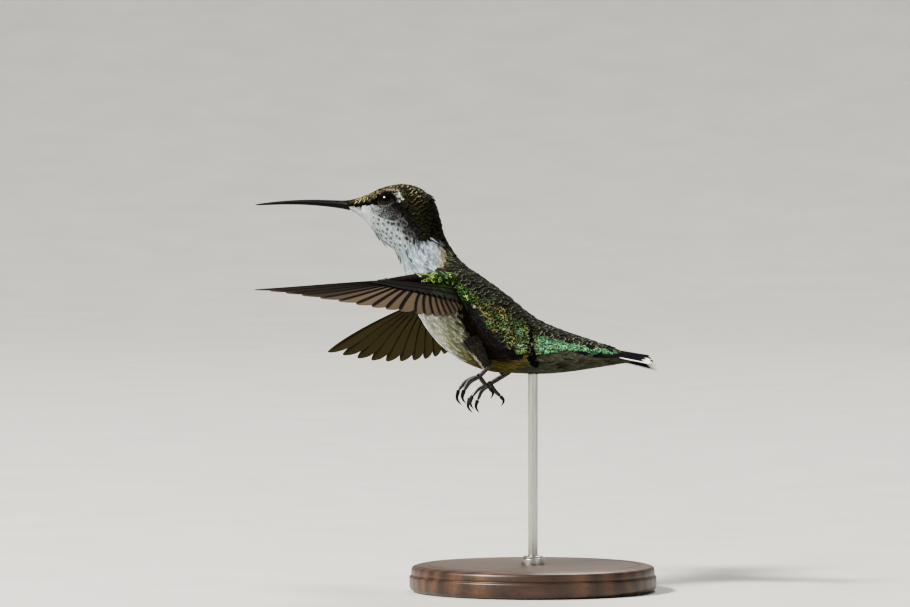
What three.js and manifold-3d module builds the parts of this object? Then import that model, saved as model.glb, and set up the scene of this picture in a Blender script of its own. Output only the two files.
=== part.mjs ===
// A ruby-throated hummingbird in the plumage of a female or young bird, hovering on a display stand.
// Millimetres, +Z up. The origin is the middle of the base's underside, and the bird looks along -X.
// The bird is modelled in a frame of its own, with its origin between the shoulders and Y = 0 as its
// plane of symmetry. One turned group then banks it and sets it on the stand's rod.
import * as THREE from "three";
import { mergeVertices } from "three/addons/utils/BufferGeometryUtils.js";
import Module from "manifold-3d";

const wasm = await Module();
wasm.setup();

// ---- Driving dimensions ----

const GAP = 0.3; // between neighbouring solids
const BILL_GAP = 0.1; // between the two halves of the bill

const BASE_RADIUS = 23;
const BASE_HEIGHT = 5;
const BASE_BEVEL = 0.6;
const ROD_RADIUS = 0.9;
const ROD_COLLAR_RADIUS = 2.2;
const ROD_COLLAR_HEIGHT = 1.6;

const REST_POINT = new THREE.Vector3(15.2, 0, -15.7); // where the rod meets the vent, in the bird's frame
const REST_HEIGHT = 40.5; // of that point above the floor
const BANK = THREE.MathUtils.degToRad(-10); // the left side is up
const YAW = THREE.MathUtils.degToRad(-10); // the head is turned towards +Y

const BILL_LENGTH = 17.6;
const BILL_BASE = new THREE.Vector3(-20.7, 0, 15.75);
const BILL_ARCH = 0.5; // how far the middle of the bill rises over a straight line
const BILL_BASE_DEPTH = 1.6;
const BILL_BASE_WIDTH = 1.9;
const BILL_TIP_SHARE = 0.3; // of the base's depth, just before the point

const EYE_RADIUS = 2.05;
const EYE_PLACE = new THREE.Vector3(-12.4, 2.95, 16.2); // of the right eye

const WING_LENGTH = 48.5; // from the shoulder to the tip
const WING_THICKNESS = 0.55;
const ARM_LENGTH = 15.5; // the fleshy part, out to the end of the hand
const PRIMARY_COUNT = 10;
const SECONDARY_COUNT = 6;
const SHOULDER = new THREE.Vector3(-0.7, 5.9, 1.6); // of the right wing
// sweep is forward from straight out, droop is below level, and the twists turn the trailing edge down.
const LEFT_WING = { sweep: 41, droop: 9, rootTwist: 58, tipTwist: 7 };
const RIGHT_WING = { sweep: 45, droop: 8.5, rootTwist: 52, tipTwist: 14 };

const RECTRIX_COUNT = 10;
const TAIL_ROOT = new THREE.Vector3(25.6, 0, -10.9);
const TAIL_LENGTH = 12.6; // of the central feathers, from that root
const TAIL_SLOPE = THREE.MathUtils.degToRad(-8);
const TAIL_SPREAD = THREE.MathUtils.degToRad(14); // each side
const TAIL_THICKNESS = 0.6;

// The body's outline from the bill to the tail coverts, out to the tips of the feathers: back and front
// are [x, z] on the plane of symmetry, half is the half width, and high lifts the widest level.
const BODY = [
  { name: "bill root", back: [-20.9, 16.8], front: [-20.3, 14.9], half: 1.5, high: 0 },
  { name: "forehead", back: [-19.2, 17.2], front: [-19.1, 14.2], half: 2.4, high: 0 },
  { name: "lores", back: [-17.0, 17.9], front: [-17.6, 13.0], half: 3.6, high: 0 },
  { name: "eyes", back: [-14.6, 19.0], front: [-16.4, 11.4], half: 4.5, high: 0.15 },
  { name: "crown", back: [-12.1, 19.7], front: [-15.2, 10.0], half: 4.9, high: 0.2 },
  { name: "cheeks", back: [-9.7, 19.9], front: [-13.9, 8.7], half: 5.0, high: 0.15 },
  { name: "hind crown", back: [-7.0, 19.0], front: [-12.7, 7.8], half: 4.9, high: 0.1 },
  { name: "back of the head", back: [-4.7, 17.1], front: [-11.7, 7.0], half: 4.6, high: 0 },
  { name: "nape", back: [-3.3, 13.9], front: [-10.8, 5.9], half: 4.3, high: 0 },
  { name: "neck", back: [-2.4, 10.7], front: [-10.2, 4.3], half: 4.2, high: 0 },
  { name: "neck base", back: [-0.6, 7.5], front: [-9.6, 2.3], half: 4.6, high: 0 },
  { name: "collar", back: [1.7, 4.9], front: [-8.9, -0.1], half: 5.6, high: 0 },
  { name: "shoulders", back: [4.8, 2.8], front: [-8.0, -2.7], half: 6.5, high: 0.05 },
  { name: "breast", back: [8.3, 0.4], front: [-6.5, -5.7], half: 7.0, high: 0 },
  { name: "back", back: [11.4, -2.0], front: [-4.4, -8.7], half: 7.0, high: 0 },
  { name: "belly", back: [14.3, -4.3], front: [-1.5, -11.5], half: 6.6, high: 0 },
  { name: "flanks", back: [16.8, -5.8], front: [2.6, -14.0], half: 6.0, high: 0 },
  { name: "thighs", back: [19.5, -7.0], front: [7.1, -15.4], half: 5.3, high: 0 },
  { name: "vent", back: [22.3, -8.0], front: [11.8, -15.7], half: 4.7, high: 0 },
  { name: "rump", back: [25.4, -9.0], front: [16.8, -15.8], half: 4.1, high: 0.1 },
  { name: "under the tail", back: [28.4, -10.0], front: [22.2, -15.3], half: 3.5, high: 0.15 },
  { name: "tail coverts", back: [29.8, -10.4], front: [27.3, -14.5], half: 3.0, high: 0.1 },
  { name: "end of the coverts", back: [31.0, -11.0], front: [30.9, -13.9], half: 2.4, high: 0 },
];
const stationOf = (name) => BODY.findIndex((station) => station.name === name);
const BODY_SIDES = 22;
const STEPS_PER_STATION = 1.5;

// Each leg goes from the knee to the heel and on to the joint of the toes, given as on the right side.
const LEFT_LEG = {
  knee: new THREE.Vector3(4.3, 5.0, -10.0),
  heel: new THREE.Vector3(7.3, 4.2, -15.2),
  joint: new THREE.Vector3(5.7, 3.6, -16.7),
};
const RIGHT_LEG = {
  knee: new THREE.Vector3(4.8, 5.0, -10.2),
  heel: new THREE.Vector3(9.5, 4.0, -15.2),
  joint: new THREE.Vector3(6.5, 3.5, -17.2),
};
const KNEE_RADIUS = 2.2;
const HEEL_RADIUS = 1.1;
const THIGH_SHARE = 0.9; // of the way from the knee to the heel
// Each toe starts at the joint: its bends and claw are [forward, outward, upward] from there.
const TARSUS_RADIUS = 0.42;
const TOE_RADIUS = 0.4;
const CLAW_RADIUS = 0.3;
const CLAW_TIP_RADIUS = 0.09;
const TOES = [
  {
    name: "inner",
    bends: [[1.9, -0.9, -1.0], [3.0, -1.4, -2.5]],
    claw: [[3.3, -1.5, -3.9], [2.6, -1.4, -5.0]],
  },
  {
    name: "middle",
    bends: [[2.4, 0.1, -1.0], [3.8, 0.2, -2.6]],
    claw: [[4.0, 0.2, -4.3], [3.1, 0.1, -5.5]],
  },
  {
    name: "outer",
    bends: [[1.7, 1.1, -1.2], [2.5, 1.7, -2.8]],
    claw: [[2.8, 1.8, -4.1], [2.1, 1.7, -5.3]],
  },
  {
    name: "hind",
    bends: [[-1.0, 0, -1.3], [-2.1, 0.1, -2.3]],
    claw: [[-2.7, 0.1, -3.1], [-2.3, 0, -4.2]],
  },
];

// ---- Materials ----

const paint = (color, roughness, metalness = 0) =>
  new THREE.MeshStandardMaterial({ color, roughness, metalness });
const GREEN_PLUMAGE = paint("#4a5a2c", 0.55);
const WHITE_PLUMAGE = paint("#c9c8c2", 0.85);
const WING_BROWN = paint("#3a2f2a", 0.6);
const TAIL_DARK = paint("#2c3330", 0.5);
const BILL_BLACK = paint("#17161a", 0.35);
const EYE_BLACK = paint("#0b0909", 0.08);
const FOOT_DARK = paint("#2a2626", 0.55);
const STAND_BASE = paint("#3b2a20", 0.4);
const STAND_ROD = paint("#b5b2aa", 0.3, 1);

// ---- Solids ----

const vec = (x, y, z) => new THREE.Vector3(x, y, z);

// A closed mesh from points and triangles, turned to face out.
function closedGeometry(points, faces) {
  const volume = faces.reduce(
    (sum, [a, b, c]) => sum + points[a].dot(points[b].clone().cross(points[c])),
    0,
  );
  const outward = volume < 0 ? faces.map(([a, b, c]) => [a, c, b]) : faces;
  const geometry = new THREE.BufferGeometry().setFromPoints(points);
  geometry.setIndex(outward.flat());
  return geometry;
}

// A solid through a stack of rings of points, with flat ends.
function loft(rings) {
  const count = rings[0].length;
  const points = rings.flat();
  const faces = [];
  for (let r = 0; r + 1 < rings.length; r++)
    for (let i = 0; i < count; i++) {
      const a = r * count + i;
      const b = r * count + ((i + 1) % count);
      faces.push([a, b, b + count], [a, b + count, a + count]);
    }
  for (const [ring, start, turned] of [[rings[0], 0, true], [rings.at(-1), points.length - count, false]]) {
    const middle = ring.reduce((sum, point) => sum.add(point), vec(0, 0, 0)).divideScalar(count);
    const centre = points.push(middle) - 1;
    for (let i = 0; i < count; i++) {
      const a = start + i;
      const b = start + ((i + 1) % count);
      faces.push(turned ? [centre, b, a] : [centre, a, b]);
    }
  }
  return closedGeometry(points, faces);
}

// A solid between two facing grids of points of one size.
function slab(top, bottom) {
  const rows = top.length;
  const columns = top[0].length;
  const points = [...top.flat(), ...bottom.flat()];
  const upper = (r, c) => r * columns + c;
  const lower = (r, c) => rows * columns + r * columns + c;
  const faces = [];
  const quad = (a, b, c, d) => faces.push([a, b, c], [a, c, d]);
  for (let r = 0; r + 1 < rows; r++)
    for (let c = 0; c + 1 < columns; c++) {
      quad(upper(r, c), upper(r + 1, c), upper(r + 1, c + 1), upper(r, c + 1));
      quad(lower(r, c), lower(r, c + 1), lower(r + 1, c + 1), lower(r + 1, c));
    }
  for (let r = 0; r + 1 < rows; r++) {
    quad(upper(r, 0), lower(r, 0), lower(r + 1, 0), upper(r + 1, 0));
    quad(upper(r, columns - 1), upper(r + 1, columns - 1), lower(r + 1, columns - 1), lower(r, columns - 1));
  }
  for (let c = 0; c + 1 < columns; c++) {
    quad(upper(0, c), upper(0, c + 1), lower(0, c + 1), lower(0, c));
    quad(upper(rows - 1, c), lower(rows - 1, c), lower(rows - 1, c + 1), upper(rows - 1, c + 1));
  }
  return closedGeometry(points, faces);
}

// A limb of round section along a smooth path, with a radius for each share of its length.
function limb(path, radiusAt, sides = 7, steps = 8) {
  const curve = new THREE.CatmullRomCurve3(path);
  const frames = curve.computeFrenetFrames(steps);
  const rings = [];
  for (let s = 0; s <= steps; s++) {
    const share = s / steps;
    const centre = curve.getPointAt(share);
    const radius = radiusAt(share);
    rings.push(
      Array.from({ length: sides }, (_, i) => {
        const angle = (2 * Math.PI * i) / sides;
        return centre
          .clone()
          .addScaledVector(frames.normals[s], radius * Math.cos(angle))
          .addScaledVector(frames.binormals[s], radius * Math.sin(angle));
      }),
    );
  }
  return loft(rings);
}

function solidOf(geometry) {
  const bare = geometry.clone();
  bare.deleteAttribute("normal");
  bare.deleteAttribute("uv");
  const merged = mergeVertices(bare, 1e-4);
  return new wasm.Manifold(
    new wasm.Mesh({
      numProp: 3,
      vertProperties: new Float32Array(merged.attributes.position.array),
      triVerts: new Uint32Array(merged.index.array),
    }),
  );
}

// The largest body of a solid, so that a cut leaves no slivers behind.
function geometryOf(solid) {
  const bodies = solid.decompose();
  const largest = bodies.reduce((a, b) => (b.volume() > a.volume() ? b : a));
  const mesh = largest.getMesh();
  const geometry = new THREE.BufferGeometry();
  geometry.setAttribute("position", new THREE.BufferAttribute(new Float32Array(mesh.vertProperties), 3));
  geometry.setIndex(new THREE.BufferAttribute(new Uint32Array(mesh.triVerts), 1));
  return geometry;
}

const cut = (geometry, ...tools) =>
  geometryOf(tools.reduce((solid, tool) => solid.subtract(solidOf(tool)), solidOf(geometry)));
const join = (...pieces) =>
  geometryOf(pieces.slice(1).reduce((solid, piece) => solid.add(solidOf(piece)), solidOf(pieces[0])));

const bird = new THREE.Group();
function place(name, geometry, material, group = bird) {
  const mesh = new THREE.Mesh(geometry, material);
  mesh.name = name;
  group.add(mesh);
  return mesh;
}

// ---- Body ----

const railOf = (side) =>
  new THREE.CatmullRomCurve3(BODY.map((station) => vec(station[side][0], 0, station[side][1])));
const backRail = railOf("back");
const frontRail = railOf("front");
const widthRail = new THREE.CatmullRomCurve3(BODY.map((station) => vec(station.half, station.high, 0)));

// The ring of feather tips at station number t, which may lie between two stations.
function bodyRing(t, grow = 0) {
  const share = t / (BODY.length - 1);
  const back = backRail.getPoint(share);
  const front = frontRail.getPoint(share);
  const size = widthRail.getPoint(share);
  const middle = back.clone().add(front).divideScalar(2);
  const reach = back.clone().sub(front).divideScalar(2);
  reach.setLength(reach.length() + grow);
  return Array.from({ length: BODY_SIDES }, (_, i) => {
    const angle = (2 * Math.PI * i) / BODY_SIDES;
    const up = Math.cos(angle) + size.y * Math.sin(angle) ** 2;
    return middle
      .clone()
      .addScaledVector(reach, up)
      .add(vec(0, (size.x + grow) * Math.sin(angle), 0));
  });
}

function bodyLoft(from, to, grow = 0) {
  const steps = Math.ceil((to - from) * STEPS_PER_STATION);
  return loft(Array.from({ length: steps + 1 }, (_, s) => bodyRing(from + ((to - from) * s) / steps, grow)));
}

// The cut between two lengths of the body is a share of a station wide, so that it is a gap of GAP.
const CUT = 0.16;
const NECK_START = stationOf("nape") + 0.3;
const TRUNK_START = stationOf("collar") - 0.3;
const COVERTS_START = stationOf("rump");

const mirrored = (point, side) => vec(point.x, point.y * side, point.z);
const SIDES = { left: -1, right: 1 };

function eyeball(side, radius) {
  const ball = new THREE.SphereGeometry(radius, 16, 10);
  ball.rotateX(Math.PI / 2);
  return ball.translate(...mirrored(EYE_PLACE, side).toArray());
}

place(
  "head",
  cut(bodyLoft(0, NECK_START - CUT), eyeball(-1, EYE_RADIUS + GAP), eyeball(1, EYE_RADIUS + GAP)),
  GREEN_PLUMAGE,
);
place("neck", bodyLoft(NECK_START, TRUNK_START - CUT), WHITE_PLUMAGE);
place("trunk", bodyLoft(TRUNK_START, COVERTS_START - CUT), GREEN_PLUMAGE);
for (const [side, sign] of Object.entries(SIDES)) place(`eye_${side}`, eyeball(sign, EYE_RADIUS), EYE_BLACK);

// ---- Bill ----

// One half of the bill: a stack of half rounds, flat where the two halves meet.
function mandible(sign) {
  const STEPS = 14;
  const ARC_POINTS = 7;
  const rings = [];
  for (let s = 0; s <= STEPS; s++) {
    const share = s / STEPS;
    const taper = THREE.MathUtils.lerp(1, BILL_TIP_SHARE, Math.sqrt(share)) * Math.sqrt(1.003 - share ** 6);
    const x = BILL_BASE.x - GAP - BILL_LENGTH * share;
    const z = BILL_BASE.z + BILL_ARCH * Math.sin(Math.PI * share);
    const depth = (BILL_BASE_DEPTH / 2) * taper - BILL_GAP / 2;
    const width = (BILL_BASE_WIDTH / 2) * taper;
    rings.push(
      Array.from({ length: ARC_POINTS }, (_, i) => {
        const angle = (Math.PI * i) / (ARC_POINTS - 1);
        const rise = BILL_GAP / 2 + Math.max(depth, 0.05) * Math.sin(angle);
        return vec(x, width * Math.cos(angle), z + sign * rise);
      }),
    );
  }
  return loft(rings);
}
place("bill_upper", mandible(1), BILL_BLACK);
place("bill_lower", mandible(-1), BILL_BLACK);

// ---- Tail ----

// The tail is a folded fan: a share across it from -1 to 1, and a share along it from 0 to 1.
const TAIL_ROOT_HALF = 1.9;
const TAIL_ROOF = 1.5; // how far the outer feathers lie under the central ones at the tip
const TAIL_NOTCH = 0.9; // between neighbouring feather tips
function tailPoint(across, along, lift) {
  const feather = Math.abs(((across + 1) / 2) * RECTRIX_COUNT) % 1;
  const notch = TAIL_NOTCH * (2 * Math.abs(feather - 0.5)) ** 3;
  const rounding = 1 - 0.1 * across ** 4 - 0.03 * (1 - across ** 2) ** 4;
  const length = TAIL_LENGTH * rounding - notch;
  const angle = across * TAIL_SPREAD;
  const reach = along * length;
  const down = TAIL_ROOF * across ** 2 * (0.5 + 0.5 * along);
  return vec(reach * Math.cos(angle), across * TAIL_ROOT_HALF + reach * Math.sin(angle), lift - down)
    .applyAxisAngle(vec(0, 1, 0), -TAIL_SLOPE)
    .add(TAIL_ROOT);
}
function tailFan(thickness, from) {
  const ACROSS = RECTRIX_COUNT * 4;
  const ALONG = 4;
  const grid = (lift) =>
    Array.from({ length: ACROSS + 1 }, (_, a) =>
      Array.from({ length: ALONG + 1 }, (_, b) =>
        tailPoint((2 * a) / ACROSS - 1, from + ((1 - from) * b) / ALONG, lift),
      ),
    );
  return slab(grid(thickness / 2), grid(-thickness / 2));
}
place("tail", tailFan(TAIL_THICKNESS, 0), TAIL_DARK);

// The slot for the tail starts a little before the tail's root and is a gap wider all round.
function tailSlot() {
  const corners = [
    [-GAP, TAIL_ROOT_HALF + GAP],
    [TAIL_LENGTH, TAIL_ROOT_HALF + GAP + TAIL_LENGTH * Math.tan(TAIL_SPREAD)],
  ];
  const STEPS = 8;
  const grid = (lift) =>
    corners.map(([reach, half]) =>
      Array.from({ length: STEPS + 1 }, (_, s) => {
        const across = (2 * s) / STEPS - 1;
        const along = Math.max(reach / TAIL_LENGTH, 0);
        const down = TAIL_ROOF * across ** 2 * (0.5 + 0.5 * along);
        return vec(reach, across * half, lift - down)
          .applyAxisAngle(vec(0, 1, 0), -TAIL_SLOPE)
          .add(TAIL_ROOT);
      }),
    );
  return slab(grid(TAIL_THICKNESS / 2 + GAP), grid(-TAIL_THICKNESS / 2 - GAP));
}
place("tail_coverts", cut(bodyLoft(COVERTS_START, BODY.length - 1), tailSlot()), GREEN_PLUMAGE);

// ---- Wings ----

const degrees = THREE.MathUtils.degToRad;

// Turns a place on the wing into the bird's frame: u is the distance out from the shoulder, v the
// distance back from the leading edge, and h the height over the wing's own surface.
function wingFrame(pose, side) {
  const sweep = degrees(pose.sweep);
  const droop = degrees(pose.droop);
  const span = vec(-Math.sin(sweep) * Math.cos(droop), Math.cos(sweep) * Math.cos(droop), -Math.sin(droop));
  const chord = vec(Math.cos(sweep), Math.sin(sweep), 0);
  const down = chord.clone().cross(span).normalize();
  if (down.z > 0) down.negate();
  return (u, v, h) => {
    const out = THREE.MathUtils.clamp(u / WING_LENGTH, 0, 1);
    const twist = degrees(THREE.MathUtils.lerp(pose.rootTwist, pose.tipTwist, Math.sqrt(out)));
    const back = chord.clone().multiplyScalar(Math.cos(twist)).addScaledVector(down, Math.sin(twist));
    const above = down.clone().multiplyScalar(-Math.cos(twist)).addScaledVector(chord, Math.sin(twist));
    const camber = -0.006 * v * v;
    const place = SHOULDER.clone()
      .addScaledVector(span, u)
      .addScaledVector(back, v)
      .addScaledVector(above, h + camber);
    return mirrored(place, side);
  };
}

// The roots of the flight feathers lie behind the arm, and their tips on the wing's outline.
const curveThrough = (...points) => new THREE.CatmullRomCurve3(points.map(([u, v]) => vec(u, v, 0)));
const HAND_END = ARM_LENGTH + GAP;
const PRIMARY_ROOTS = curveThrough([8.0, 2.5], [12.5, 2.0], [HAND_END, 1.2], [HAND_END, -0.7]);
const PRIMARY_TIPS = curveThrough([19, 13.2], [30.5, 13.0], [42, 9.6], [WING_LENGTH, 2.4]);
const SECONDARY_ROOTS = curveThrough([2.6, 2.9], [5, 2.9], [7.7, 2.6]);
const SECONDARY_TIPS = curveThrough([4.2, 10.2], [10.5, 12.4], [17.3, 13.1]);
const FEATHER_NOTCH = 1.3; // between the tips of neighbouring flight feathers

function featherFan(frame, roots, tips, count) {
  const ACROSS = count * 4;
  const ALONG = 4;
  const grid = (h) =>
    Array.from({ length: ACROSS + 1 }, (_, a) => {
      const across = a / ACROSS;
      const root = roots.getPoint(across);
      const tip = tips.getPoint(across);
      const notch = FEATHER_NOTCH * (2 * Math.abs(((across * count) % 1) - 0.5)) ** 3;
      const length = root.distanceTo(tip);
      return Array.from({ length: ALONG + 1 }, (_, b) => {
        const at = root.clone().lerp(tip, (b / ALONG) * (1 - notch / length));
        return frame(at.x, at.y, h);
      });
    });
  return slab(grid(WING_THICKNESS / 2), grid(-WING_THICKNESS / 2));
}

// The arm is widest at the shoulder and tapers to the end of the hand.
const ARM = [
  { u: 0.2, chord: 1.7, thick: 1.5, v: 0.7 },
  { u: 3, chord: 1.75, thick: 1.45, v: 0.6 },
  { u: 7.5, chord: 1.55, thick: 1.1, v: 0.45 },
  { u: 11.5, chord: 1.15, thick: 0.75, v: 0.3 },
  { u: 14.2, chord: 0.8, thick: 0.5, v: 0.15 },
  { u: ARM_LENGTH, chord: 0.35, thick: 0.3, v: 0.05 },
];
function armSolid(frame) {
  const SIDES_ROUND = 12;
  const rings = ARM.map(({ u, chord, thick, v }) =>
    Array.from({ length: SIDES_ROUND }, (_, i) => {
      const angle = (2 * Math.PI * i) / SIDES_ROUND;
      return frame(u, v + chord * Math.cos(angle), thick * Math.sin(angle));
    }),
  );
  return loft(rings);
}

const trunkTool = bodyLoft(stationOf("nape"), stationOf("rump"), GAP);
for (const [side, sign] of Object.entries(SIDES)) {
  const frame = wingFrame(side === "left" ? LEFT_WING : RIGHT_WING, sign);
  const primaries = featherFan(frame, PRIMARY_ROOTS, PRIMARY_TIPS, PRIMARY_COUNT);
  const secondaries = featherFan(frame, SECONDARY_ROOTS, SECONDARY_TIPS, SECONDARY_COUNT);
  place(`wing_${side}_arm`, cut(armSolid(frame), trunkTool), GREEN_PLUMAGE);
  place(`wing_${side}_primaries`, primaries, WING_BROWN);
  place(`wing_${side}_secondaries`, cut(secondaries, trunkTool), WING_BROWN);
}

// ---- Legs ----

// The feathered thigh, from the knee to a share of the way to the heel, and grown to cut a place for it.
function thighLimb({ knee, heel }, share, grow) {
  const end = knee.clone().lerp(heel, share);
  const path = [knee, knee.clone().lerp(end, 0.5), end];
  return limb(path, (along) => THREE.MathUtils.lerp(KNEE_RADIUS, HEEL_RADIUS, along ** 0.8) + grow);
}
for (const [side, sign] of Object.entries(SIDES)) {
  const pose = side === "left" ? LEFT_LEG : RIGHT_LEG;
  const leg = Object.fromEntries(Object.entries(pose).map(([name, point]) => [name, mirrored(point, sign)]));
  const bend = ([forward, out, up]) => leg.joint.clone().add(vec(-forward, out * sign, up));
  place(`leg_${side}_thigh`, cut(thighLimb(leg, THIGH_SHARE, 0), trunkTool), WHITE_PLUMAGE);

  const shank = [leg.heel, leg.heel.clone().lerp(leg.joint, 0.5), leg.joint];
  const tarsus = limb(shank, () => TARSUS_RADIUS, 8, 4);
  const toes = TOES.map(({ bends }) =>
    limb([leg.joint, ...bends.map(bend)], (share) => TOE_RADIUS * (1.1 - 0.3 * share), 7, 5),
  );
  place(`leg_${side}_foot`, cut(join(tarsus, ...toes), thighLimb(leg, 1, GAP), trunkTool), FOOT_DARK);

  for (const { name, bends, claw } of TOES) {
    const toeEnd = bend(bends.at(-1));
    const clawRoot = bend(claw[0]);
    const start = toeEnd.clone().add(clawRoot.clone().sub(toeEnd).setLength(GAP));
    const taper = (share) => THREE.MathUtils.lerp(CLAW_RADIUS, CLAW_TIP_RADIUS, share);
    place(`claw_${side}_${name}`, limb([start, clawRoot, bend(claw[1])], taper, 6, 5), FOOT_DARK);
  }
}

// ---- Stand ----

const banked = new THREE.Group();
bird.position.copy(REST_POINT).negate();
banked.add(bird);
banked.rotation.set(BANK, 0, YAW, "ZYX");
banked.position.set(0, 0, REST_HEIGHT);

const model = new THREE.Group();
model.add(banked);
model.updateMatrixWorld(true);

const baseOutline = [
  [0, 0],
  [BASE_RADIUS - BASE_BEVEL, 0],
  [BASE_RADIUS, BASE_BEVEL],
  [BASE_RADIUS, BASE_HEIGHT - BASE_BEVEL],
  [BASE_RADIUS - BASE_BEVEL, BASE_HEIGHT],
  [0, BASE_HEIGHT],
].map(([radius, height]) => new THREE.Vector2(radius, height));
place("stand_base", new THREE.LatheGeometry(baseOutline, 40).rotateX(Math.PI / 2), STAND_BASE, model);

// A round post that stands on the base, from one height to another.
function post(radius, from, to) {
  const cylinder = new THREE.CylinderGeometry(radius, radius, to - from, 16);
  return cylinder.rotateX(Math.PI / 2).translate(0, 0, (from + to) / 2);
}
const underTool = bodyLoft(stationOf("flanks"), BODY.length - 1, GAP).applyMatrix4(bird.matrixWorld);
const rod = cut(post(ROD_RADIUS, BASE_HEIGHT, REST_HEIGHT + 1), underTool);
place("stand_rod", rod, STAND_ROD, model);
const collarTool = post(ROD_RADIUS + GAP, 0, REST_HEIGHT);
const collar = cut(post(ROD_COLLAR_RADIUS, BASE_HEIGHT, BASE_HEIGHT + ROD_COLLAR_HEIGHT), collarTool);
place("stand_collar", collar, STAND_ROD, model);

export default model;
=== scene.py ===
# %% [markdown]
# # A hovering hummingbird on a display rod
# This lesson dresses a plain, faceted model of a small bird with a skin, some thousands of separate feathers,
# wet eyes, a horny bill and scaled feet. Every shape is made as mesh in code, and every finish from nodes.

import bpy
import numpy as np
from mathutils import Matrix, Vector
from mathutils.kdtree import KDTree


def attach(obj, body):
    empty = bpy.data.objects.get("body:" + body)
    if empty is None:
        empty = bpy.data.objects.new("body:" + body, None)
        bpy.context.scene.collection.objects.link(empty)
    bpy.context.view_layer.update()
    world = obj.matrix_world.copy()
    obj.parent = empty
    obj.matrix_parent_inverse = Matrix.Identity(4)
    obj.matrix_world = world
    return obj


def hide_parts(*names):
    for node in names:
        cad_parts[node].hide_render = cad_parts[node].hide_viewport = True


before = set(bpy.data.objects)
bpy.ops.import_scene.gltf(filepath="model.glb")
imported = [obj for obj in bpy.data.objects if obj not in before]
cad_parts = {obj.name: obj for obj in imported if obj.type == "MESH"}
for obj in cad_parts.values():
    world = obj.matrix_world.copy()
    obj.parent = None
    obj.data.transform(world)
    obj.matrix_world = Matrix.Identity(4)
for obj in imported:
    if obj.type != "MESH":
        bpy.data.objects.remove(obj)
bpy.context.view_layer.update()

# %% [markdown]
# ## The bird's own frame
# A bird that banks and turns is awkward to build. So it is built level and straight, in millimetres, with
# Y = 0 as its plane of symmetry and its bill towards -X. One turn then banks it and sets it on its rod.

# %% From the bird's frame to the world
MM = 0.001
REST_POINT = np.array([15.2, 0.0, -15.7])
REST_HEIGHT = 40.5
BANK = np.radians(-10)
YAW = np.radians(-10)
TURN = np.array(Matrix.Rotation(YAW, 3, "Z") @ Matrix.Rotation(BANK, 3, "X"))
SIDES = {"left": -1, "right": 1}  # the way along Y in which each side lies


def to_world(points):
    return ((np.asarray(points) - REST_POINT) @ TURN.T + [0, 0, REST_HEIGHT]) * MM


def unit(vectors):
    return vectors / np.maximum(np.linalg.norm(vectors, axis=-1, keepdims=True), 1e-9)


def mix(a, b, share):
    return a + (b - a) * share


def ramp(low, high, value):
    """0 below low and 1 above high, with a smooth step between."""
    share = np.clip((np.asarray(value, float) - low) / (high - low), 0, 1)
    return share * share * (3 - 2 * share)


print("the rod meets the bird at", to_world(REST_POINT))

# %% [markdown]
# ## Camera, floor and light
# The camera looks along +Y from far off, as a long lens does, so nearly without perspective. The floor is a
# shallow bowl of pale paper that curves up all round, because a flat floor would show a hard horizon. Three
# large soft lamps light it: a key from the upper left, a weak fill from the right and one over the back.

# %% Camera
def put(name, data):
    """A new object in the scene."""
    obj = bpy.data.objects.new(name, data)
    bpy.context.scene.collection.objects.link(obj)
    return obj


CAMERA_TARGET = Vector((-14.5, 0, 53.6)) * MM
CAMERA_DISTANCE = 1.41
CAMERA_ELEVATION = np.radians(2)
camera = put("camera", bpy.data.cameras.new("camera"))
camera.data.lens = 300
camera.data.sensor_width = 36
camera.data.clip_end = 50
camera_side = Vector((0, -np.cos(CAMERA_ELEVATION), np.sin(CAMERA_ELEVATION)))
camera.location = CAMERA_TARGET + CAMERA_DISTANCE * camera_side
camera.rotation_euler = camera_side.to_track_quat("Z", "Y").to_euler()
bpy.context.scene.camera = camera
print("camera at", tuple(round(v, 3) for v in camera.location))

# %% [markdown]
# ## Finishes as formulas
# A finish is a formula: a shade is so much grain and so much stripe. Written node by node, the formula gets
# lost. So each value in a material is wrapped as a wire, and adding or multiplying wires grows the nodes that
# do it. What is left to read is the formula, and one call at the end feeds the shader.

# %% Colours
def colour(code):
    """A display colour such as "#8a7f4a" as the linear colour that shaders work in."""
    display = np.array([int(code[i : i + 2], 16) for i in (1, 3, 5)]) / 255
    return np.where(display <= 0.04045, display / 12.92, ((display + 0.055) / 1.055) ** 2.4)


def rgba(code):
    return (*colour(code), 1.0)


print("white in linear light", colour("#ffffff"))


# %% Wires
class Wire:
    """A value in a finish. Sums, products and powers of wires grow Math nodes."""

    def __init__(self, finish, socket):
        self.finish = finish
        self.socket = socket

    def __add__(self, other):
        return self.finish.maths("ADD", self, other)

    def __sub__(self, other):
        return self.finish.maths("SUBTRACT", self, other)

    def __rsub__(self, other):
        return self.finish.maths("SUBTRACT", other, self)

    def __mul__(self, other):
        return self.finish.maths("MULTIPLY", self, other)

    def __truediv__(self, other):
        return self.finish.maths("DIVIDE", self, other)

    def __pow__(self, other):
        return self.finish.maths("POWER", self, other)

    __radd__ = __add__
    __rmul__ = __mul__


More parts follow.
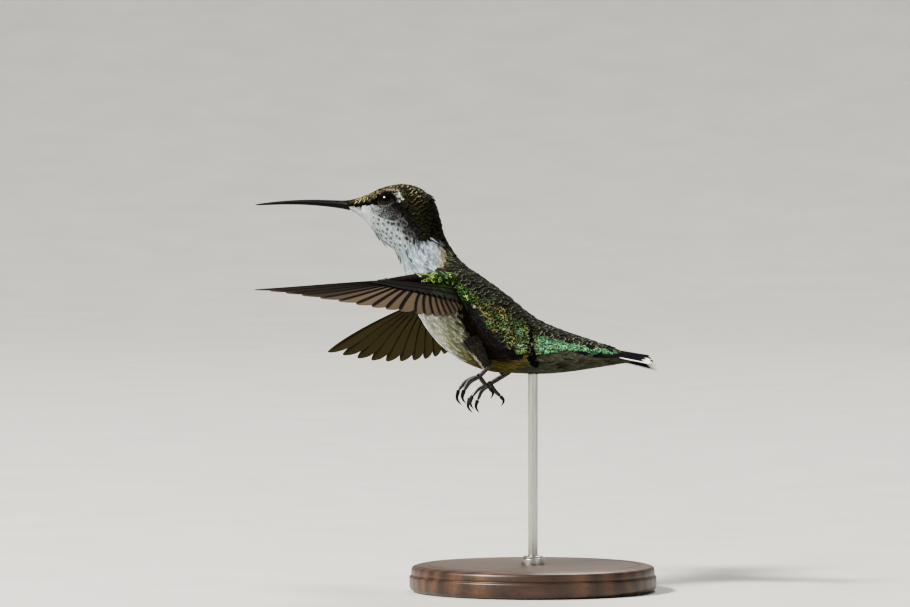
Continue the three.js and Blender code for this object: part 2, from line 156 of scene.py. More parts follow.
# %% Finishes
class Finish:
    """A material under its name, with short ways to grow its nodes."""

    def __init__(self, name):
        self.material = bpy.data.materials.new(name)
        self.material.use_nodes = True
        self.tree = self.material.node_tree
        self.place = self.add("TexCoord", {}, "Object")

    def feed(self, node, inputs):
        for key, value in inputs.items():
            if isinstance(value, Wire):
                self.tree.links.new(value.socket, node.inputs[key])
            else:
                node.inputs[key].default_value = value

    def node(self, kind, inputs, **settings):
        node = self.tree.nodes.new("ShaderNode" + kind)
        for key, value in settings.items():
            setattr(node, key, value)
        self.feed(node, inputs)
        return node

    def add(self, kind, inputs, output=0, **settings):
        return Wire(self, self.node(kind, inputs, **settings).outputs[output])

    def maths(self, operation, a, b=0.0):
        return self.add("Math", {0: a, 1: b}, operation=operation)

    def attribute(self, name, output="Color"):
        return self.add("Attribute", {}, output, attribute_name=name)

    def split(self, value):
        return [Wire(self, socket) for socket in self.node("SeparateXYZ", {0: value}).outputs]

    def stretched(self, *scale):
        return self.add("Mapping", {"Vector": self.place, "Scale": scale})

    def noise(self, scale, detail, place=None, **inputs):
        inputs.update({"Vector": place or self.place, "Scale": scale, "Detail": detail})
        return self.add("TexNoise", inputs, "Fac")

    def step_up(self, value, low, high):
        """0 below low and 1 above high, with a smooth step between."""
        return self.add("MapRange", {0: value, 1: low, 2: high}, clamp=True, interpolation_type="SMOOTHSTEP")

    def stops(self, value, *stops):
        """A Color Ramp through (place, colour code) stops."""
        node = self.node("ValToRGB", {0: value})
        elements = node.color_ramp.elements
        while len(elements) < len(stops):
            elements.new(0.5)
        for element, (place, code) in zip(elements, stops):
            element.position = place
            element.color = rgba(code)
        return Wire(self, node.outputs["Color"])

    def mixed(self, share, a, b, blend="MIX"):
        return self.add("Mix", {0: share, 6: a, 7: b}, 2, data_type="RGBA", blend_type=blend)

    def shaded(self, tint, shade, share=1.0):
        """A tint made darker or lighter by a grey."""
        return self.mixed(share, tint, self.add("CombineColor", {0: shade, 1: shade, 2: shade}), "MULTIPLY")

    def done(self, inputs, bump=None):
        """Feeds the shader, with a bump given as its height, strength and distance. Returns the material."""
        if bump:
            inputs["Normal"] = self.add("Bump", dict(zip(("Height", "Strength", "Distance"), bump)))
        self.feed(self.tree.nodes["Principled BSDF"], inputs)
        print(self.material.name, len(self.tree.nodes), "nodes")
        return self.material


# %% [markdown]
# ## Meshes from arrays
# Thousands of feathers are too many for one operator call each. Their points and faces are worked out as
# arrays and handed over in one go. A pile gathers many small shapes, with a value for each of their points,
# and turns them into one mesh.

# %% A pile of shapes
SHARP = np.radians(70)  # edges that fold more than this are drawn as edges


def carry(mesh, key, value, corners):
    """Gives a mesh a value of each point: its place in the map OFBake, a colour or a number."""
    if key == "uv":
        mesh.uv_layers.new(name="OFBake").data.foreach_set("uv", value[corners].ravel())
    elif value.shape[1] == 3:
        colours = np.c_[value, np.ones(len(value))].astype(np.float32)
        mesh.attributes.new(key, "FLOAT_COLOR", "POINT").data.foreach_set("color", colours.ravel())
    else:
        mesh.attributes.new(key, "FLOAT", "POINT").data.foreach_set("value", value.ravel())


class Pile:
    def __init__(self):
        self.points = []
        self.faces = {3: [], 4: []}
        self.values = {}
        self.count = 0

    def add(self, points, faces, **values):
        points = np.asarray(points, float).reshape(-1, 3)
        self.points.append(points)
        for group in faces:
            self.faces[group.shape[1]].append(group + self.count)
        for name, value in values.items():
            self.values.setdefault(name, []).append(np.asarray(value, float).reshape(len(points), -1))
        self.count += len(points)

    def faces_made(self):
        return {size: np.concatenate(groups) for size, groups in self.faces.items() if groups}

    def triangles(self):
        return sum(len(group) * (size - 2) for size, group in self.faces_made().items())

    def piece(self, name, material, slot, *replaced, turned=True):
        """The pile as one smooth piece on the root body, in the bird's frame or, unturned, in the world's."""
        points = np.concatenate(self.points)
        faces = self.faces_made()
        mesh = bpy.data.meshes.new(name)
        mesh.vertices.add(len(points))
        places = to_world(points) if turned else points * MM
        mesh.vertices.foreach_set("co", places.astype(np.float32).ravel())
        corners = np.concatenate([group.ravel() for group in faces.values()]).astype(np.int32)
        sizes = np.concatenate([np.full(len(group), size) for size, group in faces.items()])
        mesh.loops.add(len(corners))
        mesh.loops.foreach_set("vertex_index", corners)
        mesh.polygons.add(len(sizes))
        mesh.polygons.foreach_set("loop_start", (np.cumsum(sizes) - sizes).astype(np.int32))
        mesh.update(calc_edges=True)
        mesh.shade_smooth()
        mesh.set_sharp_from_angle(angle=SHARP)
        for key, rows in self.values.items():
            carry(mesh, key, np.concatenate(rows).astype(np.float32), corners)
        mesh.materials.append(material)
        obj = put(name, mesh)
        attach(obj, "root")
        if replaced:
            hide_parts(*replaced)
        print(name, len(points), "points", self.triangles(), "triangles")


# %% Rings and closed shapes
def turns(count):
    """Angles at even steps once round."""
    return np.arange(count) * 2 * np.pi / count


def turned_points(radius, height, around):
    x = radius[:, None] * np.cos(turns(around))
    y = radius[:, None] * np.sin(turns(around))
    return np.stack([x, y, np.broadcast_to(height[:, None], x.shape)], -1)


def ring_faces(rings, around, looped=False):
    """The quads between rings of points. In a looped shape the last ring meets the first."""
    r, i = np.meshgrid(np.arange(rings if looped else rings - 1), np.arange(around), indexing="ij")
    near, far = r * around, (r + 1) % rings * around
    beside = (i + 1) % around
    return np.stack([near + i, near + beside, far + beside, far + i], -1).reshape(-1, 4)


def outward(points, faces):
    """The faces turned so that they look out of a closed shape."""
    volume = 0.0
    for group in faces:
        a, b, c = (points[group[:, i]] for i in (0, 1, 2))
        volume += np.sum(a * np.cross(b, c))
        if group.shape[1] == 4:
            volume += np.sum(a * np.cross(c, points[group[:, 3]]))
    return faces if volume > 0 else [group[:, ::-1] for group in faces]


def closed(rings):
    """Points and faces of a shape through rings of points, with a fan over each end."""
    count, around = rings.shape[:2]
    points = rings.reshape(-1, 3)
    inner = np.arange(1, around - 1)
    fan = np.stack([0 * inner, inner + 1, inner], -1)
    last = fan[:, [0, 2, 1]] + (count - 1) * around
    return points, outward(points, [ring_faces(count, around), np.concatenate([fan, last])])


cube = closed(turned_points(np.ones(2), np.array([-1.0, 1.0]), 4))
print("a cube has", len(cube[0]), "points and", len(cube[1][0]) + len(cube[1][1]), "faces")

# %% Floor
FLAT_RADIUS, WALL_RADIUS, WALL_HEIGHT = 1200, 3200, 3600
FLOOR_AROUND = 96


def paper():
    finish = Finish("Pale paper")
    tint = finish.stops(finish.noise(40.0, 6.0), (0.3, "#c6c6c2"), (0.7, "#cdcdc9"))
    return finish.done({"Base Color": tint, "Roughness": 0.9, "Specular IOR Level": 0.2})


def stage_floor():
    curve = np.linspace(0, np.pi / 2, 24)[1:]
    wall = WALL_RADIUS - FLAT_RADIUS
    radius = np.r_[0.001, FLAT_RADIUS, FLAT_RADIUS + wall * np.sin(curve), WALL_RADIUS + 1]
    height = np.r_[0, 0, wall * (1 - np.cos(curve)), WALL_HEIGHT]
    points = turned_points(radius, height, FLOOR_AROUND).reshape(-1, 3) * MM
    mesh = bpy.data.meshes.new("floor")
    mesh.from_pydata(points.tolist(), [], ring_faces(len(radius), FLOOR_AROUND).tolist())
    mesh.shade_smooth()
    mesh.materials.append(paper())
    floor = put("floor", mesh)


stage_floor()


# %% Lamps
def lamp(name, place, size, watts, tint):
    light = bpy.data.lights.new(name, "AREA")
    light.shape = "DISK"
    light.size = size
    light.energy = watts
    light.color = tint
    obj = put(name, light)
    obj.location = place
    obj.rotation_euler = (Vector(place) - CAMERA_TARGET).to_track_quat("Z", "Y").to_euler()


lamp("key", (-1.05, -0.75, 1.15), 0.3, 68, (1.0, 0.96, 0.9))
lamp("fill", (1.3, -1.3, 0.5), 1.2, 4, (0.9, 0.95, 1.0))
lamp("back light", (0.3, 1.1, 1.5), 0.6, 20, (1.0, 0.98, 0.95))
world = bpy.data.worlds.new("studio")
world.use_nodes = True
world.node_tree.nodes["Background"].inputs["Color"].default_value = (0.9, 0.95, 1.0, 1)
world.node_tree.nodes["Background"].inputs["Strength"].default_value = 0.34
bpy.context.scene.world = world
bpy.context.scene.view_settings.look = "AgX - Medium High Contrast"
print(len(bpy.data.lights), "lamps")

# %% [markdown]
# ## The body's outline
# The body is an oval that changes along its length. Each station gives the back and the front of the oval on
# the plane of symmetry, its half width and a lift of its widest level. A smooth curve runs through the
# stations, so any ring between them can be asked for. The outline is where the tips of the feathers end, and
# the skin lies under it by the depth of the coat.

# %% Stations along the body
STATIONS = [  # name, back [x, z], front [x, z], half width, lift of the widest level
    ("bill root", (-20.9, 16.8), (-20.3, 14.9), 1.5, 0),
    ("forehead", (-19.2, 17.2), (-19.1, 14.2), 2.4, 0),
    ("lores", (-17.0, 17.9), (-17.6, 13.0), 3.6, 0),
    ("eyes", (-14.6, 19.0), (-16.4, 11.4), 4.5, 0.15),
    ("crown", (-12.1, 19.7), (-15.2, 10.0), 4.9, 0.2),
    ("cheeks", (-9.7, 19.9), (-13.9, 8.7), 5.0, 0.15),
    ("hind crown", (-7.0, 19.0), (-12.7, 7.8), 4.9, 0.1),
    ("back of the head", (-4.7, 17.1), (-11.7, 7.0), 4.6, 0),
    ("nape", (-3.3, 13.9), (-10.8, 5.9), 4.3, 0),
    ("neck", (-2.4, 10.7), (-10.2, 4.3), 4.2, 0),
    ("neck base", (-0.6, 7.5), (-9.6, 2.3), 4.6, 0),
    ("collar", (1.7, 4.9), (-8.9, -0.1), 5.6, 0),
    ("shoulders", (4.8, 2.8), (-8.0, -2.7), 6.5, 0.05),
    ("breast", (8.3, 0.4), (-6.5, -5.7), 7.0, 0),
    ("back", (11.4, -2.0), (-4.4, -8.7), 7.0, 0),
    ("belly", (14.3, -4.3), (-1.5, -11.5), 6.6, 0),
    ("flanks", (16.8, -5.8), (2.6, -14.0), 6.0, 0),
    ("thighs", (19.5, -7.0), (7.1, -15.4), 5.3, 0),
    ("vent", (22.3, -8.0), (11.8, -15.7), 4.7, 0),
    ("rump", (25.4, -9.0), (16.8, -15.8), 4.1, 0.1),
    ("under the tail", (28.4, -10.0), (22.2, -15.3), 3.5, 0.15),
    ("tail coverts", (29.8, -10.4), (27.3, -14.5), 3.0, 0.1),
    ("end of the coverts", (31.0, -11.0), (30.9, -13.9), 2.4, 0),
]
LAST = len(STATIONS) - 1


def smooth_through(points):
    """A curve through points, asked for by a share from 0 to 1: a centripetal Catmull-Rom spline."""
    points = np.asarray(points, float)
    wide = np.vstack([2 * points[0] - points[1], points, 2 * points[-1] - points[-2]])

    def at(share):
        place = np.clip(np.asarray(share, float), 0, 1) * (len(points) - 1)
        i = np.minimum(place.astype(int), len(points) - 2)
        w = (place - i)[..., None]
        p0, p1, p2, p3 = wide[i], wide[i + 1], wide[i + 2], wide[i + 3]
        steps = ((p0, p1), (p1, p2), (p2, p3))
        d0, d1, d2 = (np.linalg.norm(b - a, axis=-1, keepdims=True) ** 0.5 for a, b in steps)
        d1 = np.where(d1 < 1e-4, 1, d1)
        d0 = np.where(d0 < 1e-4, d1, d0)
        d2 = np.where(d2 < 1e-4, d1, d2)
        t1 = ((p1 - p0) / d0 - (p2 - p0) / (d0 + d1) + (p2 - p1) / d1) * d1
        t2 = ((p2 - p1) / d1 - (p3 - p1) / (d1 + d2) + (p3 - p2) / d2) * d1
        return p1 + t1 * w + (3 * (p2 - p1) - 2 * t1 - t2) * w**2 + (2 * (p1 - p2) + t1 + t2) * w**3

    return at


back_rail = smooth_through([row[1] for row in STATIONS])
front_rail = smooth_through([row[2] for row in STATIONS])
size_rail = smooth_through([row[3:] for row in STATIONS])
COAT_DEPTH = smooth_through([(station, depth) for station, depth in (
    (0, 0.12), (2, 0.25), (4, 0.4), (7, 0.55), (10, 0.7), (13, 0.75), (17, 0.7), (20, 0.6), (LAST, 0.45))])
DEPTH_TABLE = COAT_DEPTH(np.linspace(0, 1, 200))


def coat_depth(station):
    return np.interp(station, DEPTH_TABLE[:, 0], DEPTH_TABLE[:, 1])


def body(station, angle, under=0.0):
    """A point of the outline at a station and an angle from the back, or of a surface that lies under it."""
    station, angle, under = np.broadcast_arrays(np.asarray(station, float), angle, under)
    past = station - np.clip(station, 0.0, LAST)
    if np.any(past != 0):
        edge = station - past
        inner = edge - 0.02 * np.sign(past)
        ring = body(edge, angle, under)
        return ring + (ring - body(inner, angle, under)) * (np.abs(past) / 0.02)[..., None]
    share = station / LAST
    back, front, size = back_rail(share), front_rail(share), size_rail(share)
    middle = (back + front) / 2
    reach = (back - front) / 2
    reach = reach * (1 - under / np.linalg.norm(reach, axis=-1))[..., None]
    up = np.cos(angle) + size[..., 1] * np.sin(angle) ** 2
    plane = middle + reach * up[..., None]
    return np.stack([plane[..., 0], (size[..., 0] - under) * np.sin(angle), plane[..., 1]], -1)


print("the body is", round(float(np.linalg.norm(body(0, 0) - body(LAST, 0))), 1), "mm along its back")

# %% [markdown]
# ## The lie of the coat
# Feathers all point back from the bill, and stand in rows that cross the body. Rows at even stations would be
# crowded wherever the body bends. So the rows are drawn at even distances along the skin from the bill, at
# every angle round the body, and the feathers in a row are spaced along it, half a step off their neighbours.

# %% The skin as a surface with a height
def coat_at(station, angle, height=0.0):
    """A point over the skin, by that height in mm."""
    return body(station, angle, coat_depth(station) - height)


def steps_along(surface, a, b, heading=0.0):
    """How a and b change for each mm along the way a grows, turned by heading, and for each mm across it."""
    nudge = 0.01
    run = (surface(a + nudge, b) - surface(a - nudge, b)) / (2 * nudge)
    turn = (surface(a, b + nudge) - surface(a, b - nudge)) / (2 * nudge)
    along = unit(run)
    across = unit(turn - along * np.sum(turn * along, -1, keepdims=True))
    heading = np.broadcast_to(heading, np.shape(a))[..., None]
    cos, sin = np.cos(heading), np.sin(heading)
    ways = (along * cos + across * sin, across * cos - along * sin)
    e, f, g = np.sum(run * run, -1), np.sum(run * turn, -1), np.sum(turn * turn, -1)
    steps = []
    for way in ways:
        p, q = np.sum(way * run, -1), np.sum(way * turn, -1)
        steps.append(np.stack([(p * g - q * f), (q * e - p * f)], -1) / (e * g - f * f)[..., None])
    return steps


# %% Rows of roots
FINE = np.linspace(0.02, LAST - 0.02, 700)
ROUND = np.linspace(0, 2 * np.pi, 361)
grid = coat_at(FINE[:, None], ROUND[None, :])
gaps = np.linalg.norm(np.diff(grid, axis=0), axis=-1)
TRAVEL = np.concatenate([np.zeros((1, len(ROUND))), np.cumsum(gaps, 0)])
print("from bill to tail along the skin", TRAVEL[-1].min().round(1), "to", TRAVEL[-1].max().round(1), "mm")


FIRST_ROW = 0.25  # how far the first row is from the bill's root, in mm


def rows_of_roots(spacing, rng):
    """Stations, angles and distances from the bill of roots, spacing(distance) apart along and across, and
    whether each is one of every fourth, in an even pattern."""
    columns = [[], [], [], []]
    travel, number = FIRST_ROW, 0
    while travel < TRAVEL[-1].max():
        step = float(spacing(travel))
        line = np.array([np.interp(travel, TRAVEL[:, i], FINE, right=np.nan) for i in range(len(ROUND))])
        ring = coat_at(np.nan_to_num(line, nan=LAST), ROUND)
        way = np.r_[0, np.cumsum(np.linalg.norm(np.diff(ring, axis=0), axis=-1))]
        count = max(int(round(way[-1] / step)), 6)
        at = (np.arange(count) + 0.5 * (number % 2) + rng.normal(0, 0.09, count)) / count % 1 * way[-1]
        angle = np.interp(at, way, ROUND)
        shifted = travel + rng.normal(0, 0.07 * step, count)
        station = np.interp(angle, ROUND, np.nan_to_num(line, nan=-1)) + (shifted - travel) * 0.3
        fit = (station > 0.02) & (station < LAST - 0.02) & ~np.isnan(np.interp(angle, ROUND, line))
        fourth = (np.arange(count) + number // 2) % 2 + number % 2 == 0
        for column, value in zip(columns, (station, angle, shifted, fourth)):
            column.append(value[fit])
        travel += step
        number += 1
    return tuple(np.concatenate(column) for column in columns)


# %% [markdown]
# ## One feather
# A body feather is a small curved leaf: a shaft, and barbs that run from it at a slant to a notched edge. As
# a solid it has an upper and an under side that share their edge. One template in flat coordinates, with x
# from -1 to 1 across and y from 0 to 1 along, serves every feather, and each is bent and placed by arrays.

# %% Feather template
def feather_template(barbs, notch, fullness):
    """Points (x, y, lift) of a closed leaf with that many barbs a side, and its faces."""
    def edge(share, pull):
        x = np.sin(np.pi * share**fullness) ** 0.75
        y = 0.5 - 0.5 * np.cos(np.pi * share)
        shaft = 0.9 * share
        return x * (1 - pull), shaft + (y - shaft) * (1 - pull)

    points = [(0, 0, 0), (0, 1, 0)]
    upper = [0]
    lower = [0]
    for j in range(1, barbs):
        points += [(0, 0.9 * j / barbs, 1), (0, 0.9 * j / barbs, -0.6)]
        upper.append(len(points) - 2)
        lower.append(len(points) - 1)
    upper.append(1)
    lower.append(1)
    quads, triangles = [], []
    for side in (1, -1):
        notches, teeth = [0], []
        for j in range(barbs):
            x, y = edge((j + 0.72) / barbs, 0)
            points.append((side * x, y, 0))
            teeth.append(len(points) - 1)
            if j + 1 < barbs:
                x, y = edge((j + 1) / barbs, notch)
                points.append((side * x, y, 0))
                notches.append(len(points) - 1)
        notches.append(1)
        for shaft, turned in ((upper, side < 0), (lower, side > 0)):
            for j in range(barbs):
                loops = [(shaft[j], notches[j], notches[j + 1], shaft[j + 1])]
                loops.append((notches[j], teeth[j], notches[j + 1]))
                if j == 0:
                    loops = [(shaft[0], teeth[0], notches[1], shaft[1])]
                if j == barbs - 1:
                    loops = [(shaft[j], notches[j], teeth[j], 1)]
                for loop in loops:
                    loop = loop[::-1] if turned else loop
                    (quads if len(loop) == 4 else triangles).append(loop)
    return np.array(points, float), [np.array(quads), np.array(triangles)]


SCALE_LEAF = feather_template(5, 0.12, 1.25)
HEAD_LEAF = feather_template(7, 0.14, 1.3)
BODY_LEAF = feather_template(10, 0.14, 1.35)
SOFT_LEAF = feather_template(12, 0.3, 1.1)
print("a soft feather has", 2 * len(SOFT_LEAF[1][0]) + len(SOFT_LEAF[1][1]), "triangles")


# %% Feathers placed by arrays
PATCH = 0.003  # the size of a feather's patch on the map OFBake


def bake_patch(u, v, template):
    """Where each feather's own small patch lies on the unwrap of the skin: at its root's place."""
    local = (template[None, :, :2] * [0.5, 1.0] + [0.5, 0.0]) * PATCH
    return np.clip(np.stack([u, v], -1)[:, None, :], 0, 1) * (1 - PATCH) + local


def lay_feathers(
    pile, surface, shape, a, b, steps, length, width, base, rise, cup, rows, rng, uv, curl=1.6, sweep=0.0
):
    """Lays a feather at each (a, b) of a surface: base is its height at the root, rise its gain to the tip,
    cup how far its edges fall, and rows its looks."""
    template, faces = shape
    count, size = len(a), len(template)
    x, y, z = (template[None, :, i] for i in range(3))
    length, width, base, rise, cup, sweep = (
        np.broadcast_to(value, (count,))[:, None] for value in (length, width, base, rise, cup, sweep))
    reach = length * y
    side = width * x / 2 + sweep * length * y**2
    along, across = steps
    place_a = a[:, None] + along[:, :1] * reach + across[:, :1] * side
    place_b = b[:, None] + along[:, 1:] * reach + across[:, 1:] * side
    height = base + rise * (1 - (1 - y) ** curl) - cup * width * x**2 / 2 + 0.02 * width * z
    points = surface(place_a, place_b, height)
    offsets = (np.arange(count) * size)[:, None, None]
    grown = [(group[None] + offsets).reshape(-1, group.shape[1]) for group in outward(points[0], faces)]
    values = leaf_values(rows, template, rng)
    values["uv"] = bake_patch(*uv, template)
    pile.add(points, grown, **{key: value.reshape(count * size, -1) for key, value in values.items()})


# %% [markdown]
# ## Markings
# The plumage changes over the body: golden scales on the forehead, a black line from the bill to the eye, a
# white throat with dusky spots, a grey-white breast, a bronze-green back that turns emerald over the rump.
# Each kind of plumage is one look, a row of colours and widths. Masks say how much of each look a place has,
# so that borders blend, and skin and feathers ask the same function.

# %% Looks
WEB, FRINGE, HEART, SHINE, GLOSS, MARKS = (
    slice(0, 3), slice(3, 6), slice(6, 9), slice(9, 12), 12, slice(13, 16))
ALL_COLOURS, FLAT_COLOURS, HEART_SIZE = slice(0, 12), slice(0, 9), slice(14, 16)


def look(web, fringe, heart, marks, shine=None, gloss=0.0):
    """One row: four colours, the gloss, and as marks the fringe's width and the heart's width and length."""
    return np.r_[colour(web), colour(fringe), colour(heart), colour(shine or web), gloss, marks]


LOOKS = {
    "forehead": look("#1c1708", "#cabd88", "#0d0a04", (0.24, 0.5, 0.26), "#6b5c28", 0.3),
    "crown": look("#100f06", "#b5ad84", "#070603", (0.19, 0.6, 0.3), "#45431b", 0.35),
    "nape": look("#0f0f0a", "#2d2e1c", "#060603", (0.18, 0.5, 0.3), "#373c18", 0.4),
    "lore": look("#060505", "#0b0a09", "#030303", (0.2, 0.4, 0.3), "#0b0a09"),
    "brow": look("#8d7565", "#c4ac9c", "#5a463c", (0.3, 0.2, 0.2)),
    "cheek": look("#131110", "#302d2a", "#070606", (0.2, 0.5, 0.3), "#1f2017", 0.15),
    "jowl": look("#606163", "#59595a", "#222122", (0.2, 0.42, 0.2)),
    "ear": look("#37292a", "#5d4b4a", "#1c1516", (0.3, 0.3, 0.3)),
    "eye spot": look("#f1f3f5", "#4c4d50", "#ffffff", (0.2, 0.5, 0.3)),
    "chin": look("#b0b6b8", "#cdd2d3", "#7b7d7b", (0.3, 0.2, 0.1)),
    "throat": look("#929c9f", "#a4adae", "#4b4f4e", (0.2, 0.5, 0.19)),
    "jaw": look("#73777a", "#6d7073", "#2a2929", (0.2, 0.54, 0.2)),
    "collar": look("#7f8b93", "#929ea5", "#74808a", (0.4, 0.1, 0.4)),
    "buff": look("#7c745f", "#938a74", "#6b6450", (0.3, 0.2, 0.4)),
    # The front edge of breast and belly is near white against the grey breast: a painted highlight, a rim of
    # light.
    "painted rim light": look("#d4d7d8", "#e4e7e8", "#c4c7c6", (0.4, 0.1, 0.4)),
    "breast": look("#6f736f", "#828682", "#5f625b", (0.4, 0.1, 0.4)),
    "belly": look("#8a8b74", "#aaae9d", "#706f52", (0.35, 0.14, 0.4)),
    "olive": look("#5d5c30", "#77774a", "#41401f", (0.35, 0.14, 0.4)),
    # The flank and navy looks are near black: the flank's own dusky colour with the wing's shade painted in.
    "flank": look("#18130e", "#221a15", "#100b09", (0.3, 0.3, 0.4), "#1c1d14", 0.05),
    "navy": look("#15151d", "#1d1d28", "#0e0e14", (0.3, 0.3, 0.4)),
    "back": look("#1b1d12", "#797865", "#0b0d08", (0.11, 0.55, 0.3), "#333a18", 0.3),
    "shoulder": look("#0d1408", "#4a5636", "#050804", (0.1, 0.5, 0.3), "#5d8f42", 0.9),
    "frosted": look("#181810", "#78756d", "#090806", (0.14, 0.5, 0.3), "#34471f", 0.4),
    "glitter": look("#11130a", "#92907a", "#080806", (0.075, 0.5, 0.25), "#6e7d4a", 0.95),
    "mint": look("#2b4731", "#768d6b", "#16281c", (0.1, 0.3, 0.15), "#96bd94", 1.0),
    "rump": look("#2c5f3d", "#749875", "#133121", (0.08, 0.3, 0.15), "#9fd5a4", 1.0),
    "barred": look("#1e1f16", "#7a786d", "#10110c", (0.13, 0.5, 0.35), "#203626", 0.3),
    # The gap look is near black: painted shadow for the seam at the coverts of the tail.
    "gap": look("#070605", "#0d0b09", "#040303", (0.2, 0.3, 0.3), "#0d0b09"),
    "rust": look("#4f4821", "#58532d", "#423c1a", (0.3, 0.2, 0.4)),
    # The under tail look is dark grey-olive: the coverts' own grey-white with shade painted in.
    "under tail": look("#414236", "#4b4c41", "#38382c", (0.3, 0.2, 0.4)),
    "edge line": look("#635a40", "#8f8663", "#4a4029", (0.3, 0.2, 0.2), "#8f8663"),
    "small covert": look("#0f1707", "#2c3a16", "#060904", (0.12, 0.4, 0.3), "#5f8a3a", 0.9),
    "bright covert": look("#4f6b24", "#b7c88a", "#223312", (0.2, 0.4, 0.3), "#cde07f", 1.0),
    "covert": look("#0e0807", "#19100e", "#080404", (0.14, 0.3, 0.5), "#14120d", 0.1),
    "under covert": look("#2c2514", "#3c3420", "#1f1a0f", (0.25, 0.2, 0.4)),
    "thigh": look("#3c3835", "#4e4a44", "#262220", (0.3, 0.2, 0.4)),
    "thigh edge": look("#a8a399", "#d0ccc2", "#7d776b", (0.4, 0.1, 0.4)),
}
NAMES = list(LOOKS)
LOOK_TABLE = np.array([LOOKS[name] for name in NAMES])


def look_rows(name, count, other=None, share=0.0):
    """The look of that name for each of count feathers, mixed with another by a share."""
    rows = np.tile(LOOKS[name], (count, 1))
    if other:
        rows = mix(rows, LOOKS[other], np.broadcast_to(share, (count,))[:, None])
    return rows


print(len(LOOKS), "looks of", LOOK_TABLE.shape[1], "numbers")

# %% [markdown]
# ## Where each look lies
# The borders are lines on the body, given as an angle from the back at stations along it, and the small marks
# are spots with a place and a size, as seen from the side.

# %% Borders and spots
# The border between the dark upper side and the pale under side: (station, degrees from the back).
PALE_BORDER = np.array([
    (0, 118), (0.5, 119), (1.6, 104), (2.7, 90), (3.4, 93), (4.4, 103), (5.8, 106), (6.8, 103), (7.6, 103),
    (8.2, 95), (8.6, 84), (8.9, 65), (9.15, 43), (9.6, 31), (10.2, 35), (10.7, 52), (11.0, 78), (12, 82),
    (13, 75), (14, 75), (15, 81), (16.2, 89), (17.4, 104), (18.1, 98), (18.6, 84), (20, 82), (22, 86)])
# The lower border of the dark flank, whose near black is partly its own dusky colour and partly painted shade
# from the wing above it.
FLANK_BORDER = np.array([
    (12, 84), (13, 94), (14, 104), (15, 116), (16, 132), (16.6, 136), (17.4, 126), (18, 104), (18.6, 86)])
SPOTS = (  # look, strength, middle in x and z, half sizes along and up, lean
    ("ear", 0.6, (-8.3, 15.0), (1.0, 0.45), 0.0),
    ("lore", 1.0, (-17.9, 15.58), (3.8, 0.38), -0.02),
    ("lore", 1.0, (-14.9, 15.8), (1.3, 0.6), 0.0),
    ("brow", 0.8, (-12.4, 18.05), (2.2, 0.15), -0.04),
    ("buff", 0.3, (-2.3, 5.2), (1.1, 2.4), 0.3),
    ("eye spot", 0.8, (-10.8, 17.3), (0.34, 0.3), 0.0),
    ("eye spot", 0.6, (-10.05, 16.6), (0.75, 0.18), -1.0),
    ("eye spot", 0.45, (-10.6, 16.3), (0.7, 0.18), -1.0),
    ("eye spot", 0.1, (-10.5, 16.6), (0.7, 0.9), 0.0),
    ("mint", 0.55, (10.1, -7.8), (1.0, 0.5), 0.0),
    ("mint", 0.55, (13.0, -8.6), (0.8, 0.5), 0.0),
    ("mint", 0.55, (13.6, -11.4), (0.6, 0.8), 0.0),
)


def spot(place, centre, size, lean):
    """1 at the middle of an oval mark on both sides of the body, and 0 outside."""
    x, z = place[..., 0] - centre[0], place[..., 2] - centre[1]
    along = (x * np.cos(lean) + z * np.sin(lean)) / size[0]
    up = (z * np.cos(lean) - x * np.sin(lean)) / size[1]
    return ramp(1.25, 0.75, np.sqrt(along**2 + up**2)) * ramp(0.8, 1.6, np.abs(place[..., 1]))


def band(value, start, full, fading, end):
    """0 outside start and end, and 1 from full to fading."""
    return ramp(start, full, value) * ramp(end, fading, value)


test = [float(band(value, 1, 2, 3, 4)) for value in (0, 2.5, 3.5)]
print("a band from 1 to 4 has", test, "at 0, 2.5 and 3.5")


# %% Looks of the upper side
def upper_looks(dark, station, degrees, place):
    """Shares of the looks from bill to tail, by how dark the side is."""
    behind = ramp(15.4, 16.3, place[..., 0])
    side = ramp(34, 58, degrees)
    rear = dark * behind
    forehead = dark * ramp(3.6, 1.8, station + 0.012 * degrees)
    nape = np.maximum(ramp(5.4, 7.2, station), 0.85 * ramp(4.3, 5.8, station) * ramp(34, 56, degrees))
    nape = dark * nape * ramp(11.2, 10.0, station)
    crown = np.clip(dark * ramp(11.0, 10.0, station) - forehead - nape, 0, 1)
    barred = rear * ramp(66, 54, degrees)
    mint = (rear - barred) * ramp(71, 82, degrees)
    glitter = dark * side * ramp(13.0, 14.0, station) * (1 - behind)
    arm = dark * side * band(station, 11.0, 11.8, 13.0, 14.0)
    shoulder = arm * ramp(61, 69, degrees + 3 * (station - 12.5))
    back = np.clip(dark * ramp(10.0, 11.2, station) * (1 - behind) - glitter - arm, 0, 1)
    return {"forehead": forehead, "nape": nape, "crown": crown, "barred": barred, "mint": mint,
            "rump": rear - barred - mint, "glitter": glitter, "shoulder": shoulder,
            "frosted": arm - shoulder, "back": back}


